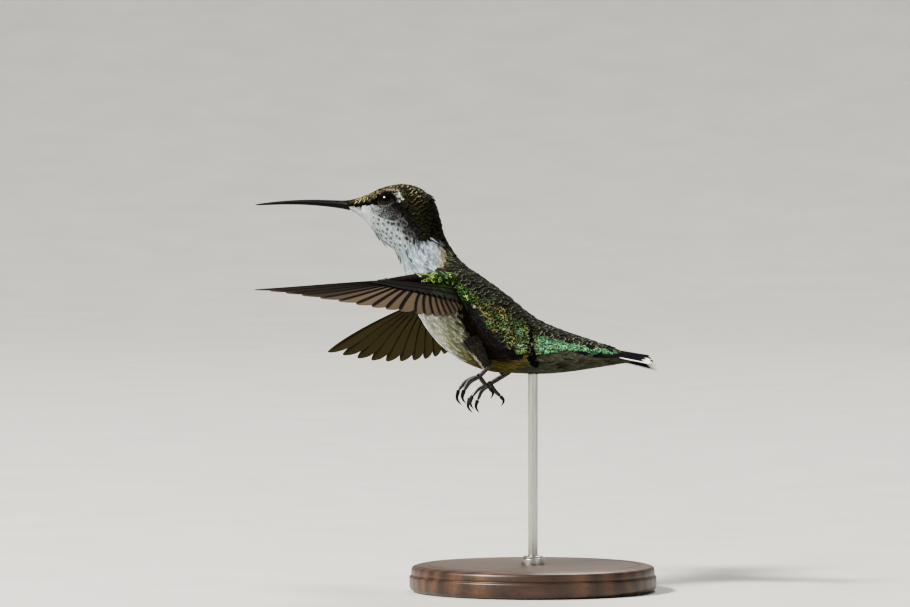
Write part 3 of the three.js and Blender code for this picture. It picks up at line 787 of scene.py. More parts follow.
# %% Looks of the under side
def under_looks(pale, dusky_and_shade, over, station, degrees):
    """Shares of the looks from bill to tail, by how pale the side is and how far past its border."""
    light = pale - dusky_and_shade
    chin = pale * ramp(4.2, 2.2, station)
    neck = pale * ramp(8.0, 9.3, station + 0.012 * (degrees - 100)) * ramp(11.8, 10.6, station)
    throat = np.clip(pale * ramp(10.6, 9.5, station) - chin - neck, 0, 1)
    jaw = throat * ramp(22, 6, over) * ramp(3.4, 5.4, station)
    buff = neck * ramp(25, 9, over) * ramp(9.0, 9.8, station)
    # Next to the border the dark flank turns navy: painted shade as well as colour.
    navy = dusky_and_shade * ramp(18, 4, over)
    wedge = ramp(18.9, 19.8, station) * ramp(24, 13, over)
    low = light * band(station, 10.8, 11.8, 15.9, 16.5)
    breast = low * ramp(14.6, 13.0, station)
    olive = low * ramp(14.8, 16.0, station)
    return {"chin": chin, "collar": neck - buff, "jaw": jaw, "throat": throat - jaw, "buff": buff,
            "navy": navy + light * wedge, "flank": dusky_and_shade - navy,
            "rust": light * band(station, 15.9, 16.5, 17.7, 18.3),
            "under tail": light * ramp(17.7, 18.3, station) * (1 - wedge),
            "breast": breast, "olive": olive, "belly": low - breast - olive}


# %% All looks, and marks that cover them
def shares_of(station, angle, place):
    """How much of each look there is: one column for each name in NAMES."""
    degrees = np.degrees(np.abs((angle + np.pi) % (2 * np.pi) - np.pi))
    wave = 2.2 * np.sin(place[..., 0] * 2.3 + 1.7 * np.sin(place[..., 2] * 3.1))
    over = degrees + wave - np.interp(station, *PALE_BORDER.T)
    pale = ramp(-3, 7, over)
    # The dark flank under the wing: partly its own dusky colour, partly painted shade from the wing.
    dusky_and_shade = ramp(4, -6, degrees + wave - np.interp(station, *FLANK_BORDER.T)) * pale
    dusky_and_shade = dusky_and_shade * band(station, 12.0, 12.8, 17.9, 18.6)
    shares = upper_looks(1 - pale, station, degrees, place)
    shares.update(under_looks(pale, dusky_and_shade, over, station, degrees))
    marks = {
        "cheek": band(over, -34, -22, -3, 2) * band(station, 3.0, 3.8, 7.6, 8.6),
        "jowl": 0.9 * band(over, -15, -5, 1, 11) * band(station, 3.3, 4.6, 7.8, 8.6),
        # Painted highlight: the front edge of breast and belly turns near white, as a rim of light.
        "painted rim light": ramp(152, 168, degrees) * band(station, 10.6, 11.6, 14.6, 16.2),
        "glitter": 0.7 * ramp(-26, -6, over) * (1 - pale) * band(station, 9.5, 10.2, 11.2, 11.8),
    }
    for name, strength, *oval in SPOTS:
        marks[name] = np.maximum(marks.get(name, 0), strength * spot(place, *oval))
    for name, mark in marks.items():
        for other in shares:
            shares[other] = shares[other] * (1 - mark)
        shares[name] = shares.get(name, 0) + mark
    nothing = np.zeros(np.shape(station))
    table = np.stack([shares.get(name, nothing) for name in NAMES], -1)
    return table / np.maximum(table.sum(-1, keepdims=True), 1e-6)


def looks_at(station, angle, place):
    return shares_of(station, angle, place) @ LOOK_TABLE


test = looks_at(np.array([5.0]), np.array([np.pi]), body(5.0, np.pi)[None])
print("the throat's web is", test[..., WEB].round(2))


# %% What each point of a feather carries
def leaf_values(rows, template, rng):
    """The colours of each feather's look, a little brighter or darker, and where a point lies in its leaf."""
    count, size = len(rows), len(template)
    bright = rng.normal(1, 0.07, (count, 1))
    web, fringe, heart = (np.clip(rows[:, part] * bright, 0, 1)[:, None] for part in (WEB, FRINGE, HEART))
    fringe = mix(web, fringe, rng.uniform(0.3, 1.1, (count, 1, 1)))
    shine = np.clip(rows[:, SHINE] * rng.normal(1, (0.2, 0.12, 0.18), (count, 3)), 0, 1)[:, None]
    gloss = rows[:, GLOSS] * (0.25 + 1.0 * rng.random(count) ** 1.5)
    values = {"web": web, "fringe": fringe, "heart": heart, "shine": shine, "marks": rows[:, MARKS][:, None]}
    values = {key: np.broadcast_to(value, (count, size, 3)) for key, value in values.items()}
    x, y = (np.broadcast_to(template[None, :, i], (count, size)) for i in (0, 1))
    values["leaf"] = np.stack([x, y, np.broadcast_to(gloss[:, None], (count, size))], -1)
    return values


# %% [markdown]
# ## Feather material
# A real barb is a fine rod, and a web of them glints along its length. The tint comes from the markings. Fine
# stripes along the barbs give the web its grain. Where the coat has gloss, a noise picks single barbs that
# mirror like green metal and leaves the rest dark, which is how such feathers glitter.

# %% Contour feather material
def plumage():
    finish = Finish("Contour feathers")
    web, fringe, heart, shine = (finish.attribute(name) for name in ("web", "fringe", "heart", "shine"))
    across, reach, gloss = finish.split(finish.attribute("leaf", "Vector"))
    fringe_width, heart_width, heart_length = finish.split(finish.attribute("marks", "Vector"))
    wide = finish.maths("ABSOLUTE", across)
    # How near a point is to the leaf's edge: 1 on the rounded tip, and less inside.
    end = finish.maths("MAXIMUM", 0.0, (reach - 0.55) / 0.45)
    near = finish.maths("SQRT", (wide * 0.76) ** 2.0 + end**2.0)
    edge = finish.step_up(near + fringe_width * 1.2, 0.98, 1.12)
    # The fringe is worn, so it breaks up into flecks.
    edge = edge * finish.step_up(finish.noise(2100.0, 2.0), 0.33, 0.5)
    # The heart is a dark oval on the shaft, and the shorter it is the nearer it is to the tip.
    from_heart = (reach - (0.9 - heart_length * 0.55)) / heart_length
    dark = finish.step_up(1.0 - ((across / heart_width) ** 2.0 + from_heart**2.0), -0.6, 0.5)
    # Barbs run from the shaft to the edge at a slant.
    stripe = finish.maths("SINE", (reach * 15.0 + wide * -5.0) * 6.2832)
    grain = finish.noise(5200.0, 2.0)
    strand = {0: across * 4.5, 1: reach * 1.6, 2: finish.split(finish.place)[0] * 500.0}
    streak = finish.noise(1.0, 3.0, finish.add("CombineXYZ", strand))
    shade = 0.56 + grain * 0.3 + stripe * 0.05 + streak * 0.6
    # Near its root each feather lies in the shade of the one before it.
    shade = shade * (0.78 + finish.step_up(reach, 0.55, 0.9) * 0.22)
    tint = finish.shaded(finish.mixed(edge, finish.mixed(dark, web, heart), fringe), shade)
    spark = finish.step_up(finish.noise(3500.0, 2.0, Roughness=0.6), 0.47, 0.6)
    glint = gloss * spark * (1.0 - edge * 0.7)
    return finish.done({
        "Base Color": finish.mixed(glint, tint, shine),
        "Metallic": glint * 0.85,
        "Roughness": 0.78 - gloss * 0.42,
        "Specular IOR Level": 0.07,
        "Sheen Weight": 0.01,
        "Sheen Roughness": 0.5,
    }, (stripe * 0.5 + grain, 0.35, 0.00004))


PLUMAGE = plumage()

# %% [markdown]
# ## Eyes, and the opening between the lids
# The globe is larger than what shows of it: the lids leave an oval opening. So the opening has a length and
# a height of its own on the globe, and feathers, lids and skin all keep clear of it. The eye looks outwards
# and a little up, and it is nearly all black: a dark brown iris round a wide pupil, under a wet, clear front.

# %% The eye's measures
EYE_RADIUS = 2.05
EYE_PLACE = np.array([-12.65, 2.95, 16.2])  # of the right eye; the left one is its mirror image
EYE_AXIS = unit(np.array([-0.12, 0.97, 0.17]))
OPENING = np.array([1.45, 1.22])  # half its length and half its height, in mm
OPENING_LEAN = np.radians(-8)


def mirrored(points, side):
    return np.asarray(points) * [1, side, 1]


def eye_axes(side):
    """The eye's axis, and the directions along and up its opening."""
    axis = mirrored(EYE_AXIS, side)
    level = unit(np.cross([0, 0, 1.0], axis) * side)
    upright = np.cross(axis, level) * side
    along = level * np.cos(OPENING_LEAN) + upright * np.sin(OPENING_LEAN)
    return axis, along, upright * np.cos(OPENING_LEAN) - level * np.sin(OPENING_LEAN)


def opening_share(points, side):
    """0 at the middle of the opening, 1 at the lids and more outside, for points near the globe."""
    axis, along, upright = eye_axes(side)
    out = unit(points - mirrored(EYE_PLACE, side))
    share = np.hypot(out @ along * EYE_RADIUS / OPENING[0], out @ upright * EYE_RADIUS / OPENING[1])
    return np.where(out @ axis > 0.2, share, 9.0)


print("eye axes", [axis.round(2).tolist() for axis in eye_axes(1)])


# %% Globes
def wet_eye():
    finish = Finish("Wet eye")
    blurred = finish.attribute("ring", "Fac") + finish.noise(5200.0, 4.0) * 0.05
    iris = finish.stops(
        blurred, (0.0, "#010101"), (0.30, "#020101"), (0.34, "#0f0805"), (0.5, "#0b0604"), (0.62, "#030202"))
    return finish.done({"Base Color": iris, "Roughness": 0.25, "Specular IOR Level": 0.05,
                        "Coat Weight": 0.5, "Coat IOR": 1.4, "Coat Roughness": 0.02})


def globe(name, side, finish, rings=40, around=64):
    theta = np.linspace(0.02, np.pi - 0.02, rings)[:, None, None]
    phi = turns(around)[:, None]
    axis, along, upright = eye_axes(side)
    # The clear front stands out of the ball a little.
    radius = EYE_RADIUS + 0.07 * ramp(np.radians(50), np.radians(15), theta)
    out = np.cos(theta) * axis + np.sin(theta) * (np.cos(phi) * along + side * np.sin(phi) * upright)
    points, faces = closed(mirrored(EYE_PLACE, side) + out * radius)
    pile = Pile()
    pile.add(points, faces, ring=np.broadcast_to(theta[..., 0] / np.pi * 2, (rings, around)))
    pile.piece(f"globe_{name}", finish, "eye_globe", f"eye_{name}")


GLOBE = wet_eye()
for name, side in SIDES.items():
    globe(name, side, GLOBE)

# %% [markdown]
# ## Kinds of body feathers
# Feathers are smallest at the bill, and grow towards the tail. Their size and spacing are read off a short
# table by the distance from the bill. Those of the upper side are firm scales. Those of collar, belly and
# vent are soft: longer, narrower, deeply frayed and closer together, so that they read as down.

# %% Sizes by the distance from the bill
SIZES = np.array([  # distance, spacing, length, width
    (0.0, 0.5, 1.2, 0.72),
    (4.0, 0.56, 1.5, 0.84),
    (8.0, 0.66, 1.8, 1.0),
    (16.0, 0.78, 2.2, 1.25),
    (24.0, 0.82, 2.5, 1.35),
    (34.0, 0.9, 2.9, 1.5),
    (48.0, 1.0, 3.3, 1.7),
    (66.0, 1.1, 3.8, 1.9),
])


def sized(travel, column):
    return np.interp(travel, SIZES[:, 0], SIZES[:, column])


print("20 mm from the bill a feather is", round(float(sized(20, 2)), 2), "mm long")


# %% Feathers part round the eye
PROBE = 0.3  # a short step, in mm, that shows which way the skin runs
MOST_TURN = np.radians(42)


def moved(station, angle, step, distance):
    """The place some distance along a step."""
    return station + step[:, 0] * distance, angle + step[:, 1] * distance


def nearer_opening(points):
    return np.minimum(opening_share(points, -1), opening_share(points, 1))


def turned_from_eyes(station, angle):
    """How far each feather turns to pass an eye that lies ahead of it."""
    roots = coat_at(station, angle)
    ahead, beside = (
        (coat_at(*moved(station, angle, step, PROBE)) - roots) / PROBE
        for step in steps_along(coat_at, station, angle))
    heading = np.zeros(len(station))
    for side in SIDES.values():
        to_eye = mirrored(EYE_PLACE + EYE_AXIS * EYE_RADIUS, side) - roots
        near = np.linalg.norm(to_eye, axis=-1)
        forward, sideways = np.sum(to_eye * ahead, -1), np.sum(to_eye * beside, -1)
        turn = np.where(sideways > 0, -1, 1) * ramp(3.4, 1.6, near) * ramp(-0.9, 0.6, forward)
        heading += turn * MOST_TURN * ramp(2.2, 0.4, np.abs(sideways))
    return heading


def round_the_eye(station, angle, length, small):
    """The turn and the length that keep each feather off the opening, and which feathers stay. The small ones
    stay next to an opening, and the others further off."""
    heading = turned_from_eyes(station, angle)
    share = nearer_opening(coat_at(station, angle))
    keep = (share > 1.2) & (share < 2.3) if small else share > 2.0
    along, _ = steps_along(coat_at, station, angle, heading)
    free = np.ones(len(station))
    for cut in np.linspace(0.95, 0.35, 7):
        for part in (0.6, 1.0):
            tips = coat_at(*moved(station, angle, along, length * part * (cut + 0.05)))
            free = np.where(nearer_opening(tips) < 1.06, np.minimum(free, cut - 0.05), free)
    return heading, length * free, keep & (free > 0.32)


test = np.degrees(turned_from_eyes(np.array([2.2, 2.6]), np.array([1.3, 1.7])))
print("two feathers in front of the eye turn by", test.round(1), "degrees")

# %% Pieces of the coat
GROUPS = {  # name: stations from and to, dark side or not, spacing, length, width, rise, cup, soft or not
    "feathers_crown": (0, 7.4, True, 1.0, 1.0, 1.0, 1.1, 0.26, 0),
    "feathers_throat": (0, 7.4, False, 0.86, 1.1, 1.05, 0.45, 0.04, 0),
    "feathers_round_eyes": (1.5, 8.0, None, 0.34, 0.42, 0.4, 0.8, 0.14, 0),
    "feathers_nape": (7.4, 11.4, True, 0.9, 1.0, 0.95, 0.95, 0.2, 0),
    "feathers_collar": (7.4, 11.4, False, 0.62, 1.35, 0.5, 0.3, 0.01, 1),
    "feathers_back": (11.4, 16.6, True, 1.0, 1.05, 1.0, 0.95, 0.2, 0),
    "feathers_belly": (11.4, 16.6, False, 0.66, 1.35, 0.5, 0.35, 0.01, 1),
    "feathers_rump": (16.6, LAST + 1, True, 0.72, 0.95, 0.68, 0.95, 0.18, 0),
    "feathers_undertail": (16.6, LAST + 1, False, 0.66, 1.3, 0.55, 0.3, 0.01, 1),
}
FIRM_LEAVES = ((0, 4.5, SCALE_LEAF), (4.5, 24, HEAD_LEAF), (24, 99, BODY_LEAF))  # distances from the bill
SOFT_LEAVES = ((0, 99, SOFT_LEAF),)
OPEN_END = 0.72  # the share of a feather's length at which the part that shows has its middle
UNEVEN = 0.07  # how much sizes vary from one feather to the next
DOTTED = 0.08  # dots outside the even pattern
DOT_LIFT = 0.06  # how far the dotted feathers lie over their neighbours
STREAKS = 200  # streaks in the soft coat, counted once round the body
UNWRAP_LENGTH = 68  # from the bill to the tail along the skin, in mm


def own_roots(first, last, dark, spacing, long, rng):
    """The roots of one piece: between two stations, and on one side of the pale border or on both."""
    station, angle, travel, fourth = rows_of_roots(lambda distance: sized(distance, 1) * spacing, rng)
    mine = (station >= first) & (station < last)
    if dark is not None:
        # A feather belongs to the side of the border on which its open end lies.
        along, _ = steps_along(coat_at, station, angle)
        end, turn = moved(station, angle, along, sized(travel, 2) * long * OPEN_END)
        degrees = np.degrees(np.abs((turn + np.pi) % (2 * np.pi) - np.pi))
        mine &= (degrees < np.interp(end, *PALE_BORDER.T)) == dark
    return station[mine], angle[mine], travel[mine], fourth[mine]


def coat_looks(name, station, angle, shown, fourth, soft, rng):
    """The look of each feather by the place that its open end shows at, changed in some of the pieces."""
    rows = looks_at(*shown, coat_at(*shown))
    if soft:
        # Soft feathers that lie in line are alike, which draws long fine streaks.
        streaks = rng.normal(1, 0.32 if name == "feathers_collar" else 0.24, STREAKS)
        rows[:, ALL_COLOURS] *= streaks[(angle / (2 * np.pi) * STREAKS).astype(int) % STREAKS][:, None]
    if name == "feathers_round_eyes":
        rows[:, FLAT_COLOURS] *= rng.uniform(0.25, 1.1, (len(rows), 1)) ** 1.3
    plain = ~fourth & (rng.random(len(rows)) > DOTTED)
    if name == "feathers_throat":
        # Only some feathers bear a dot, and next to the dark upper side the dots stay small.
        rows[plain, HEART] = rows[plain, WEB] * 0.93
        rows[:, FRINGE] = np.minimum(rows[:, FRINGE], rows[:, WEB] * 1.25)
        rows[:, HEART_SIZE] = np.minimum(rows[:, HEART_SIZE], (0.54, 0.2))
    if name in ("feathers_crown", "feathers_nape"):
        # Where the cheek meets the throat, the feathers are grey with small dots and show no rims.
        grey = (rows[:, 0] > 0.012) & (station > 3) & (angle > np.radians(80))
        rows[grey, WEB] *= 0.55
        rows[grey, FRINGE] = np.minimum(rows[grey, FRINGE], rows[grey, WEB] * 1.1)
        rows[grey, HEART_SIZE] = np.minimum(rows[grey, HEART_SIZE], (0.54, 0.22))
    return rows


# %% The coat over head and body
def coat_group(name, first, last, dark, spacing, long, wide, high, cup, soft):
    rng = np.random.default_rng(sum(ord(letter) for letter in name))
    station, angle, travel, fourth = own_roots(first, last, dark, spacing, long, rng)
    length = sized(travel, 2) * long * rng.normal(1, UNEVEN, len(station))
    width = sized(travel, 3) * wide * rng.normal(1, UNEVEN, len(station))
    heading, length, keep = round_the_eye(station, angle, length, name == "feathers_round_eyes")
    heading = heading + rng.normal(0, np.radians(5), len(station))
    station, angle, travel, fourth, length, width, heading = (
        values[keep] for values in (station, angle, travel, fourth, length, width, heading))
    steps = steps_along(coat_at, station, angle, heading)
    shown = moved(station, angle, steps[0], length * OPEN_END)
    rows = coat_looks(name, station, angle, shown, fourth, soft, rng)
    rise = coat_depth(station) * high * rng.normal(1, UNEVEN, len(station))
    base = 0.02 + coat_depth(station) * (0.3 if soft else 0.0)
    if name == "feathers_throat":
        base = base + DOT_LIFT * fourth
    uv = (travel / UNWRAP_LENGTH, (angle / (2 * np.pi)) % 1)
    pile = Pile()
    for start, end, leaf in SOFT_LEAVES if soft else FIRM_LEAVES:
        part = (travel >= start) & (travel < end)
        if part.any():
            sweep = rng.normal(0, 0.1 if soft else 0.03, part.sum())
            lay_feathers(pile, coat_at, leaf, station[part], angle[part], [step[part] for step in steps],
                         length[part], width[part], base[part], rise[part], cup, rows[part], rng,
                         [values[part] for values in uv], sweep=sweep)
    pile.piece(name, PLUMAGE, "plumage_green" if dark else "plumage_white")


for name, group in GROUPS.items():
    coat_group(name, *group)

# %% [markdown]
# ## Lines and stray feathers
# Some things are too fine for the rows of the coat. A dark line of painted shadow parts the flank from the
# coverts of the tail, in the seam where the one row of feathers ends and the next begins, and a fine pale
# line runs above the flank. A few loose feathers stand off the throat, and a small tuft off the back of the
# head. Each is laid from a short list of places.

# %% Lines and loose feathers
# Painted shadow: a line of near black feathers in the seam between the flank and the coverts of the tail.
PAINTED_SHADOW_LINE = np.array([(16.05, 44), (16.27, 47.5), (17.0, 67.7), (17.74, 91.4), (18.29, 117.5), (18.62, 138)])
FLANK_LINE = np.array([(13.0, 64.5), (13.25, 66.5), (13.75, 70), (14.4, 74), (15.1, 77)])
LINES = (  # look, stations and degrees from the back, degrees between feathers, length, width
    ("gap", PAINTED_SHADOW_LINE, 2.5, 1.0, 0.6),
    ("edge line", FLANK_LINE, 0.9, 1.1, 0.17),
)
STRAYS = (  # look, station, degrees from the back, length, width, turn in degrees, how far it stands off
    ("throat", 4.6, 174, 1.4, 0.5, 8, 0.3),
    ("throat", 4.9, 178, 1.5, 0.5, -3, 0.35),
    ("collar", 6.9, 176, 1.7, 0.6, 5, 0.3),
    ("collar", 7.3, 179, 1.8, 0.6, -4, 0.3),
    ("collar", 7.6, 172, 1.6, 0.6, 3, 0.25),
    ("throat", 3.5, 160, 1.5, 0.5, -12, 0.5),
    ("throat", 3.7, 166, 1.3, 0.5, 9, 0.4),
    ("collar", 8.9, 56, 1.3, 0.3, 16, 0.3),
    ("collar", 8.8, 61, 1.1, 0.3, 26, 0.25),
    ("collar", 9.15, 50, 1.0, 0.26, 8, 0.25),
    ("nape", 6.3, 4, 2.0, 1.0, 3, 0.45),
    ("nape", 6.45, 14, 2.0, 1.0, -5, 0.4),
    ("nape", 6.4, 26, 1.9, 1.0, 4, 0.3),
)


def loose_feathers():
    rng = np.random.default_rng(71)
    pile = Pile()

    def lay(leaf, name, station, degrees, turn, length, width, base, rise, curl):
        angle = np.radians(degrees) * side
        steps = steps_along(coat_at, station, angle, turn)
        uv = (station / LAST, (angle / (2 * np.pi)) % 1)
        lay_feathers(pile, coat_at, leaf, station, angle, steps, length, width, base, rise, 0.1,
                     look_rows(name, len(station)), rng, uv, curl)

    for side in SIDES.values():
        for name, line, step, length, width in LINES:
            degrees = np.arange(line[0, 1], line[-1, 1], step)
            station = np.interp(degrees, *line[:, ::-1].T) + rng.normal(-0.2, 0.07, len(degrees))
            grown = mix(0.8, 1.3, (degrees - degrees[0]) / np.ptp(degrees))
            grown = grown * rng.normal(1, 0.12, len(degrees))
            depth = coat_depth(station)
            lay(SCALE_LEAF, name, station, degrees, rng.normal(0, 0.15, len(station)), length * grown,
                width * grown, 0.7 * depth, 0.32 * depth, 1.6)
        for name, at, degrees, length, width, turn, stand in STRAYS:
            station = np.array([at])
            depth = coat_depth(station)
            lay(HEAD_LEAF, name, station, np.array([degrees]), np.radians(turn), length, width,
                0.6 * depth, 0.4 * depth + stand, 1.0)
    pile.piece("feathers_loose", PLUMAGE, "plumage_green")


loose_feathers()

# %% [markdown]
# ## Wings as a surface
# A wing is a thin, twisted plane: u runs out along the arm, v runs back over the feathers and h stands off
# the plane. The twist is strong at the body and weak at the tip. With one function from (u, v, h) to a place,
# everything on the wing can be drawn on flat paper, and the same drawing serves both wings.

# %% The wing's plane
WING_LENGTH = 48.5
ARM_LENGTH = 15.5
SHOULDER = np.array([-0.7, 5.9, 1.6])
WING_POSES = {  # degrees: sweep, droop, twist at the root and at the tip
    "left": (41, 9, 58, 7),
    "right": (45, 8.5, 52, 14),
}


def wing_plane(name, side):
    sweep, droop, root_twist, tip_twist = np.radians(WING_POSES[name])
    span = np.array([-np.sin(sweep) * np.cos(droop), np.cos(sweep) * np.cos(droop), -np.sin(droop)])
    chord = np.array([np.cos(sweep), np.sin(sweep), 0])
    down = unit(np.cross(chord, span))
    down = down * -np.sign(down[2])

    def at(u, v, h=0.0):
        u, v, h = np.broadcast_arrays(np.asarray(u, float), v, h)
        twist = mix(root_twist, tip_twist, np.sqrt(np.clip(u / WING_LENGTH, 0, 1)))[..., None]
        back = chord * np.cos(twist) + down * np.sin(twist)
        above = chord * np.sin(twist) - down * np.cos(twist)
        place = SHOULDER + span * u[..., None] + back * v[..., None] + above * (h - 0.006 * v**2)[..., None]
        return mirrored(place, side)

    return at


PLANES = {name: wing_plane(name, side) for name, side in SIDES.items()}
print("wing tips at", [plane(WING_LENGTH, 2.4).round(1).tolist() for plane in PLANES.values()])

# %% [markdown]
# ## Legs as paths
# Each leg bends at the knee, the heel and the joint of the toes. Each toe bends once and ends in a claw. The
# bends are the joints of the real foot. Smooth curves through them carry the thigh, the shank and the toes.

# %% Bends of the legs
LEGS = {  # of the right side: knee, heel, joint of the toes
    "left": ((4.3, 5.0, -10.0), (7.3, 4.2, -15.2), (5.7, 3.6, -16.7)),
    "right": ((4.8, 5.0, -10.2), (9.5, 4.0, -15.2), (6.5, 3.5, -17.2)),
}
KNEE_RADIUS, HEEL_RADIUS, THIGH_SHARE = 2.2, 0.85, 0.9
TARSUS_RADIUS, TOE_RADIUS, CLAW_RADIUS = 0.46, 0.42, 0.36
TOES = {  # steps from the joint: forward, out, up, for the two ends of the toe and the two of the claw
    "inner": ((1.9, -0.9, -1.0), (3.0, -1.4, -2.5), (3.3, -1.5, -3.9), (2.6, -1.4, -5.0)),
    "middle": ((2.4, 0.1, -1.0), (3.8, 0.2, -2.6), (4.0, 0.2, -4.3), (3.1, 0.1, -5.5)),
    "outer": ((1.7, 1.1, -1.2), (2.5, 1.7, -2.8), (2.8, 1.8, -4.1), (2.1, 1.7, -5.3)),
    "hind": ((-1.0, 0.0, -1.3), (-2.1, 0.1, -2.3), (-2.7, 0.1, -3.1), (-2.3, 0.0, -4.2)),
}


def frames_along(path):
    """Two directions across a path at each point, which don't twist."""
    ways = unit(np.gradient(path, axis=0))
    first = unit(np.cross(ways, [0.13, 1.0, 0.21]))
    return first, np.cross(ways, first)


def tube(path, radius, around, flat=1.0):
    """A closed tube round a path, with a radius at each of its points."""
    one, two = frames_along(path)
    angle = turns(around)[:, None]
    ring = np.cos(angle) * one[:, None] + flat * np.sin(angle) * two[:, None]
    return closed(path[:, None] + ring * np.asarray(radius)[:, None, None])


def thigh_path(name, side, count=24):
    knee, heel, _ = (mirrored(p, side) for p in LEGS[name])
    share = np.linspace(0, THIGH_SHARE, count)[:, None]
    return knee + (heel - knee) * share


def thigh_radius(share):
    return mix(KNEE_RADIUS, HEEL_RADIUS, np.clip(share, 0, 1) ** 0.9)


def thigh_flesh(share):
    """The radius of the skin of the thigh, under its feathers."""
    return thigh_radius(share) - 0.45 * np.sqrt(1 - 0.7 * np.clip(share, 0, 1))


print("shank", np.linalg.norm(np.subtract(*LEGS["left"][1:])).round(2), "mm long")

# %% [markdown]
# ## One skin
# The real skin runs on from the head over neck, trunk, wing arms and thighs with no seam. Joining separate
# shapes with Booleans leaves sharp creases. So the shapes are only pushed into each other. Blender's voxel
# remesh lays one even mesh over the lot, and a smoothing pass softens it where they meet.

# %% Rough shapes of the flesh
ARM = np.array([  # u, half chord, half thickness, middle v
    (-2.8, 1.3, 1.1, 0.7), (0.2, 1.7, 1.5, 0.7), (3, 1.75, 1.45, 0.6), (7.5, 1.55, 1.1, 0.45),
    (11.5, 1.15, 0.75, 0.3), (14.2, 0.8, 0.5, 0.15), (ARM_LENGTH, 0.35, 0.3, 0.05)])
ARM_COAT = 0.3


def arm_part(u, column):
    return np.interp(u, ARM[:, 0], ARM[:, column])


def flesh():
    pile = Pile()
    pile.add(*closed(coat_at(np.linspace(0.0, LAST, 110)[:, None], turns(72))))
    for name, side in SIDES.items():
        u = np.linspace(ARM[0, 0], ARM_LENGTH - 0.2, 40)[:, None]
        v = arm_part(u, 3) + (arm_part(u, 1) - ARM_COAT) * np.cos(turns(24))
        height = np.maximum(arm_part(u, 2) - ARM_COAT, 0.15) * np.sin(turns(24))
        pile.add(*closed(PLANES[name](u, v, height)))
        path = thigh_path(name, side)
        pile.add(*tube(path, thigh_flesh(np.linspace(0, 1, len(path))), 24))
    return pile


rough = flesh()
print(rough.count, "points of rough flesh")


# %% One even mesh
def remeshed(pile, voxel, rounds):
    """One even skin over a pile of closed shapes that run into each other."""
    mesh = bpy.data.meshes.new("rough")
    faces = [face for group in pile.faces_made().values() for face in group.tolist()]
    mesh.from_pydata(np.concatenate(pile.points).tolist(), [], faces)
    obj = put("rough", mesh)
    cover = obj.modifiers.new("cover", "REMESH")
    cover.mode = "VOXEL"
    cover.voxel_size = voxel
    soft = obj.modifiers.new("soft", "SMOOTH")
    soft.factor = 0.5
    soft.iterations = rounds
    done = bpy.data.meshes.new_from_object(obj.evaluated_get(bpy.context.evaluated_depsgraph_get()))
    points = np.empty(len(done.vertices) * 3)
    done.vertices.foreach_get("co", points)
    sizes = np.empty(len(done.polygons), int)
    done.polygons.foreach_get("loop_total", sizes)
    corners = np.empty(len(done.loops), int)
    done.loops.foreach_get("vertex_index", corners)
    starts = np.cumsum(sizes) - sizes
    groups = [corners[starts[sizes == n][:, None] + np.arange(n)] for n in (3, 4) if (sizes == n).any()]
    bpy.data.objects.remove(obj)
    for used in (mesh, done):
        bpy.data.meshes.remove(used)
    return points.reshape(-1, 3), groups


skin_points, skin_faces = remeshed(rough, 0.22, 6)
print(len(skin_points), "points of skin")

# %% [markdown]
# ## Eyelids
# The skin is drawn in under the globe inside the opening and raised to a low rim round it. Over that rim lies
# a finer ring: the lid of a small bird is a narrow, bare, grey fold with a beaded edge.

# %% Skin round the eyes
UNDER_GLOBE, LID_RIM = 0.2, 0.04  # how far the skin lies under the globe's face, and stands over it round it


def settle_round_eye(points, side):
    """The points near an eye, moved under its globe inside the opening and up to a low rim outside."""
    centre = mirrored(EYE_PLACE, side)
    away = np.linalg.norm(points - centre, axis=-1)
    share = opening_share(points, side)
    near = (away < EYE_RADIUS * 1.9) & (share < 2.3)
    target = np.where(share < 1.0, EYE_RADIUS - UNDER_GLOBE, EYE_RADIUS + LID_RIM)
    target = mix(target, np.maximum(away, EYE_RADIUS + LID_RIM), ramp(1.25, 2.2, share))
    return np.where(near[:, None], centre + unit(points - centre) * target[:, None], points)


for side in SIDES.values():
    skin_points = settle_round_eye(skin_points, side)
print("skin within reach of the lids:", int((opening_share(skin_points, 1) < 2.3).sum()), "points")


# %% Lids
LID = np.array([  # share of the opening, height, size of the beads, how pale below, in the corner and behind
    (0.90, -0.10, 0, 0, 0, 0),
    (0.955, 0.01, 0, 0, 0, 0),
    (0.99, 0.09, 1, 0.1, 0, 0),
    (1.05, 0.13, 1, 0.3, 0.3, 0),
    (1.12, 0.125, 0.6, 0.9, 0.7, 0.3),
    (1.19, 0.09, 0, 1, 1, 0.8),
    (1.26, 0.05, 0, 0.4, 1, 1),
    (1.33, -0.06, 0, 0.1, 1, 1),
    (1.33, -0.25, 0, 0, 1, 1),
    (0.90, -0.25, 0, 0, 1, 1),
])
LID_AROUND, LID_BEADS = 120, 30


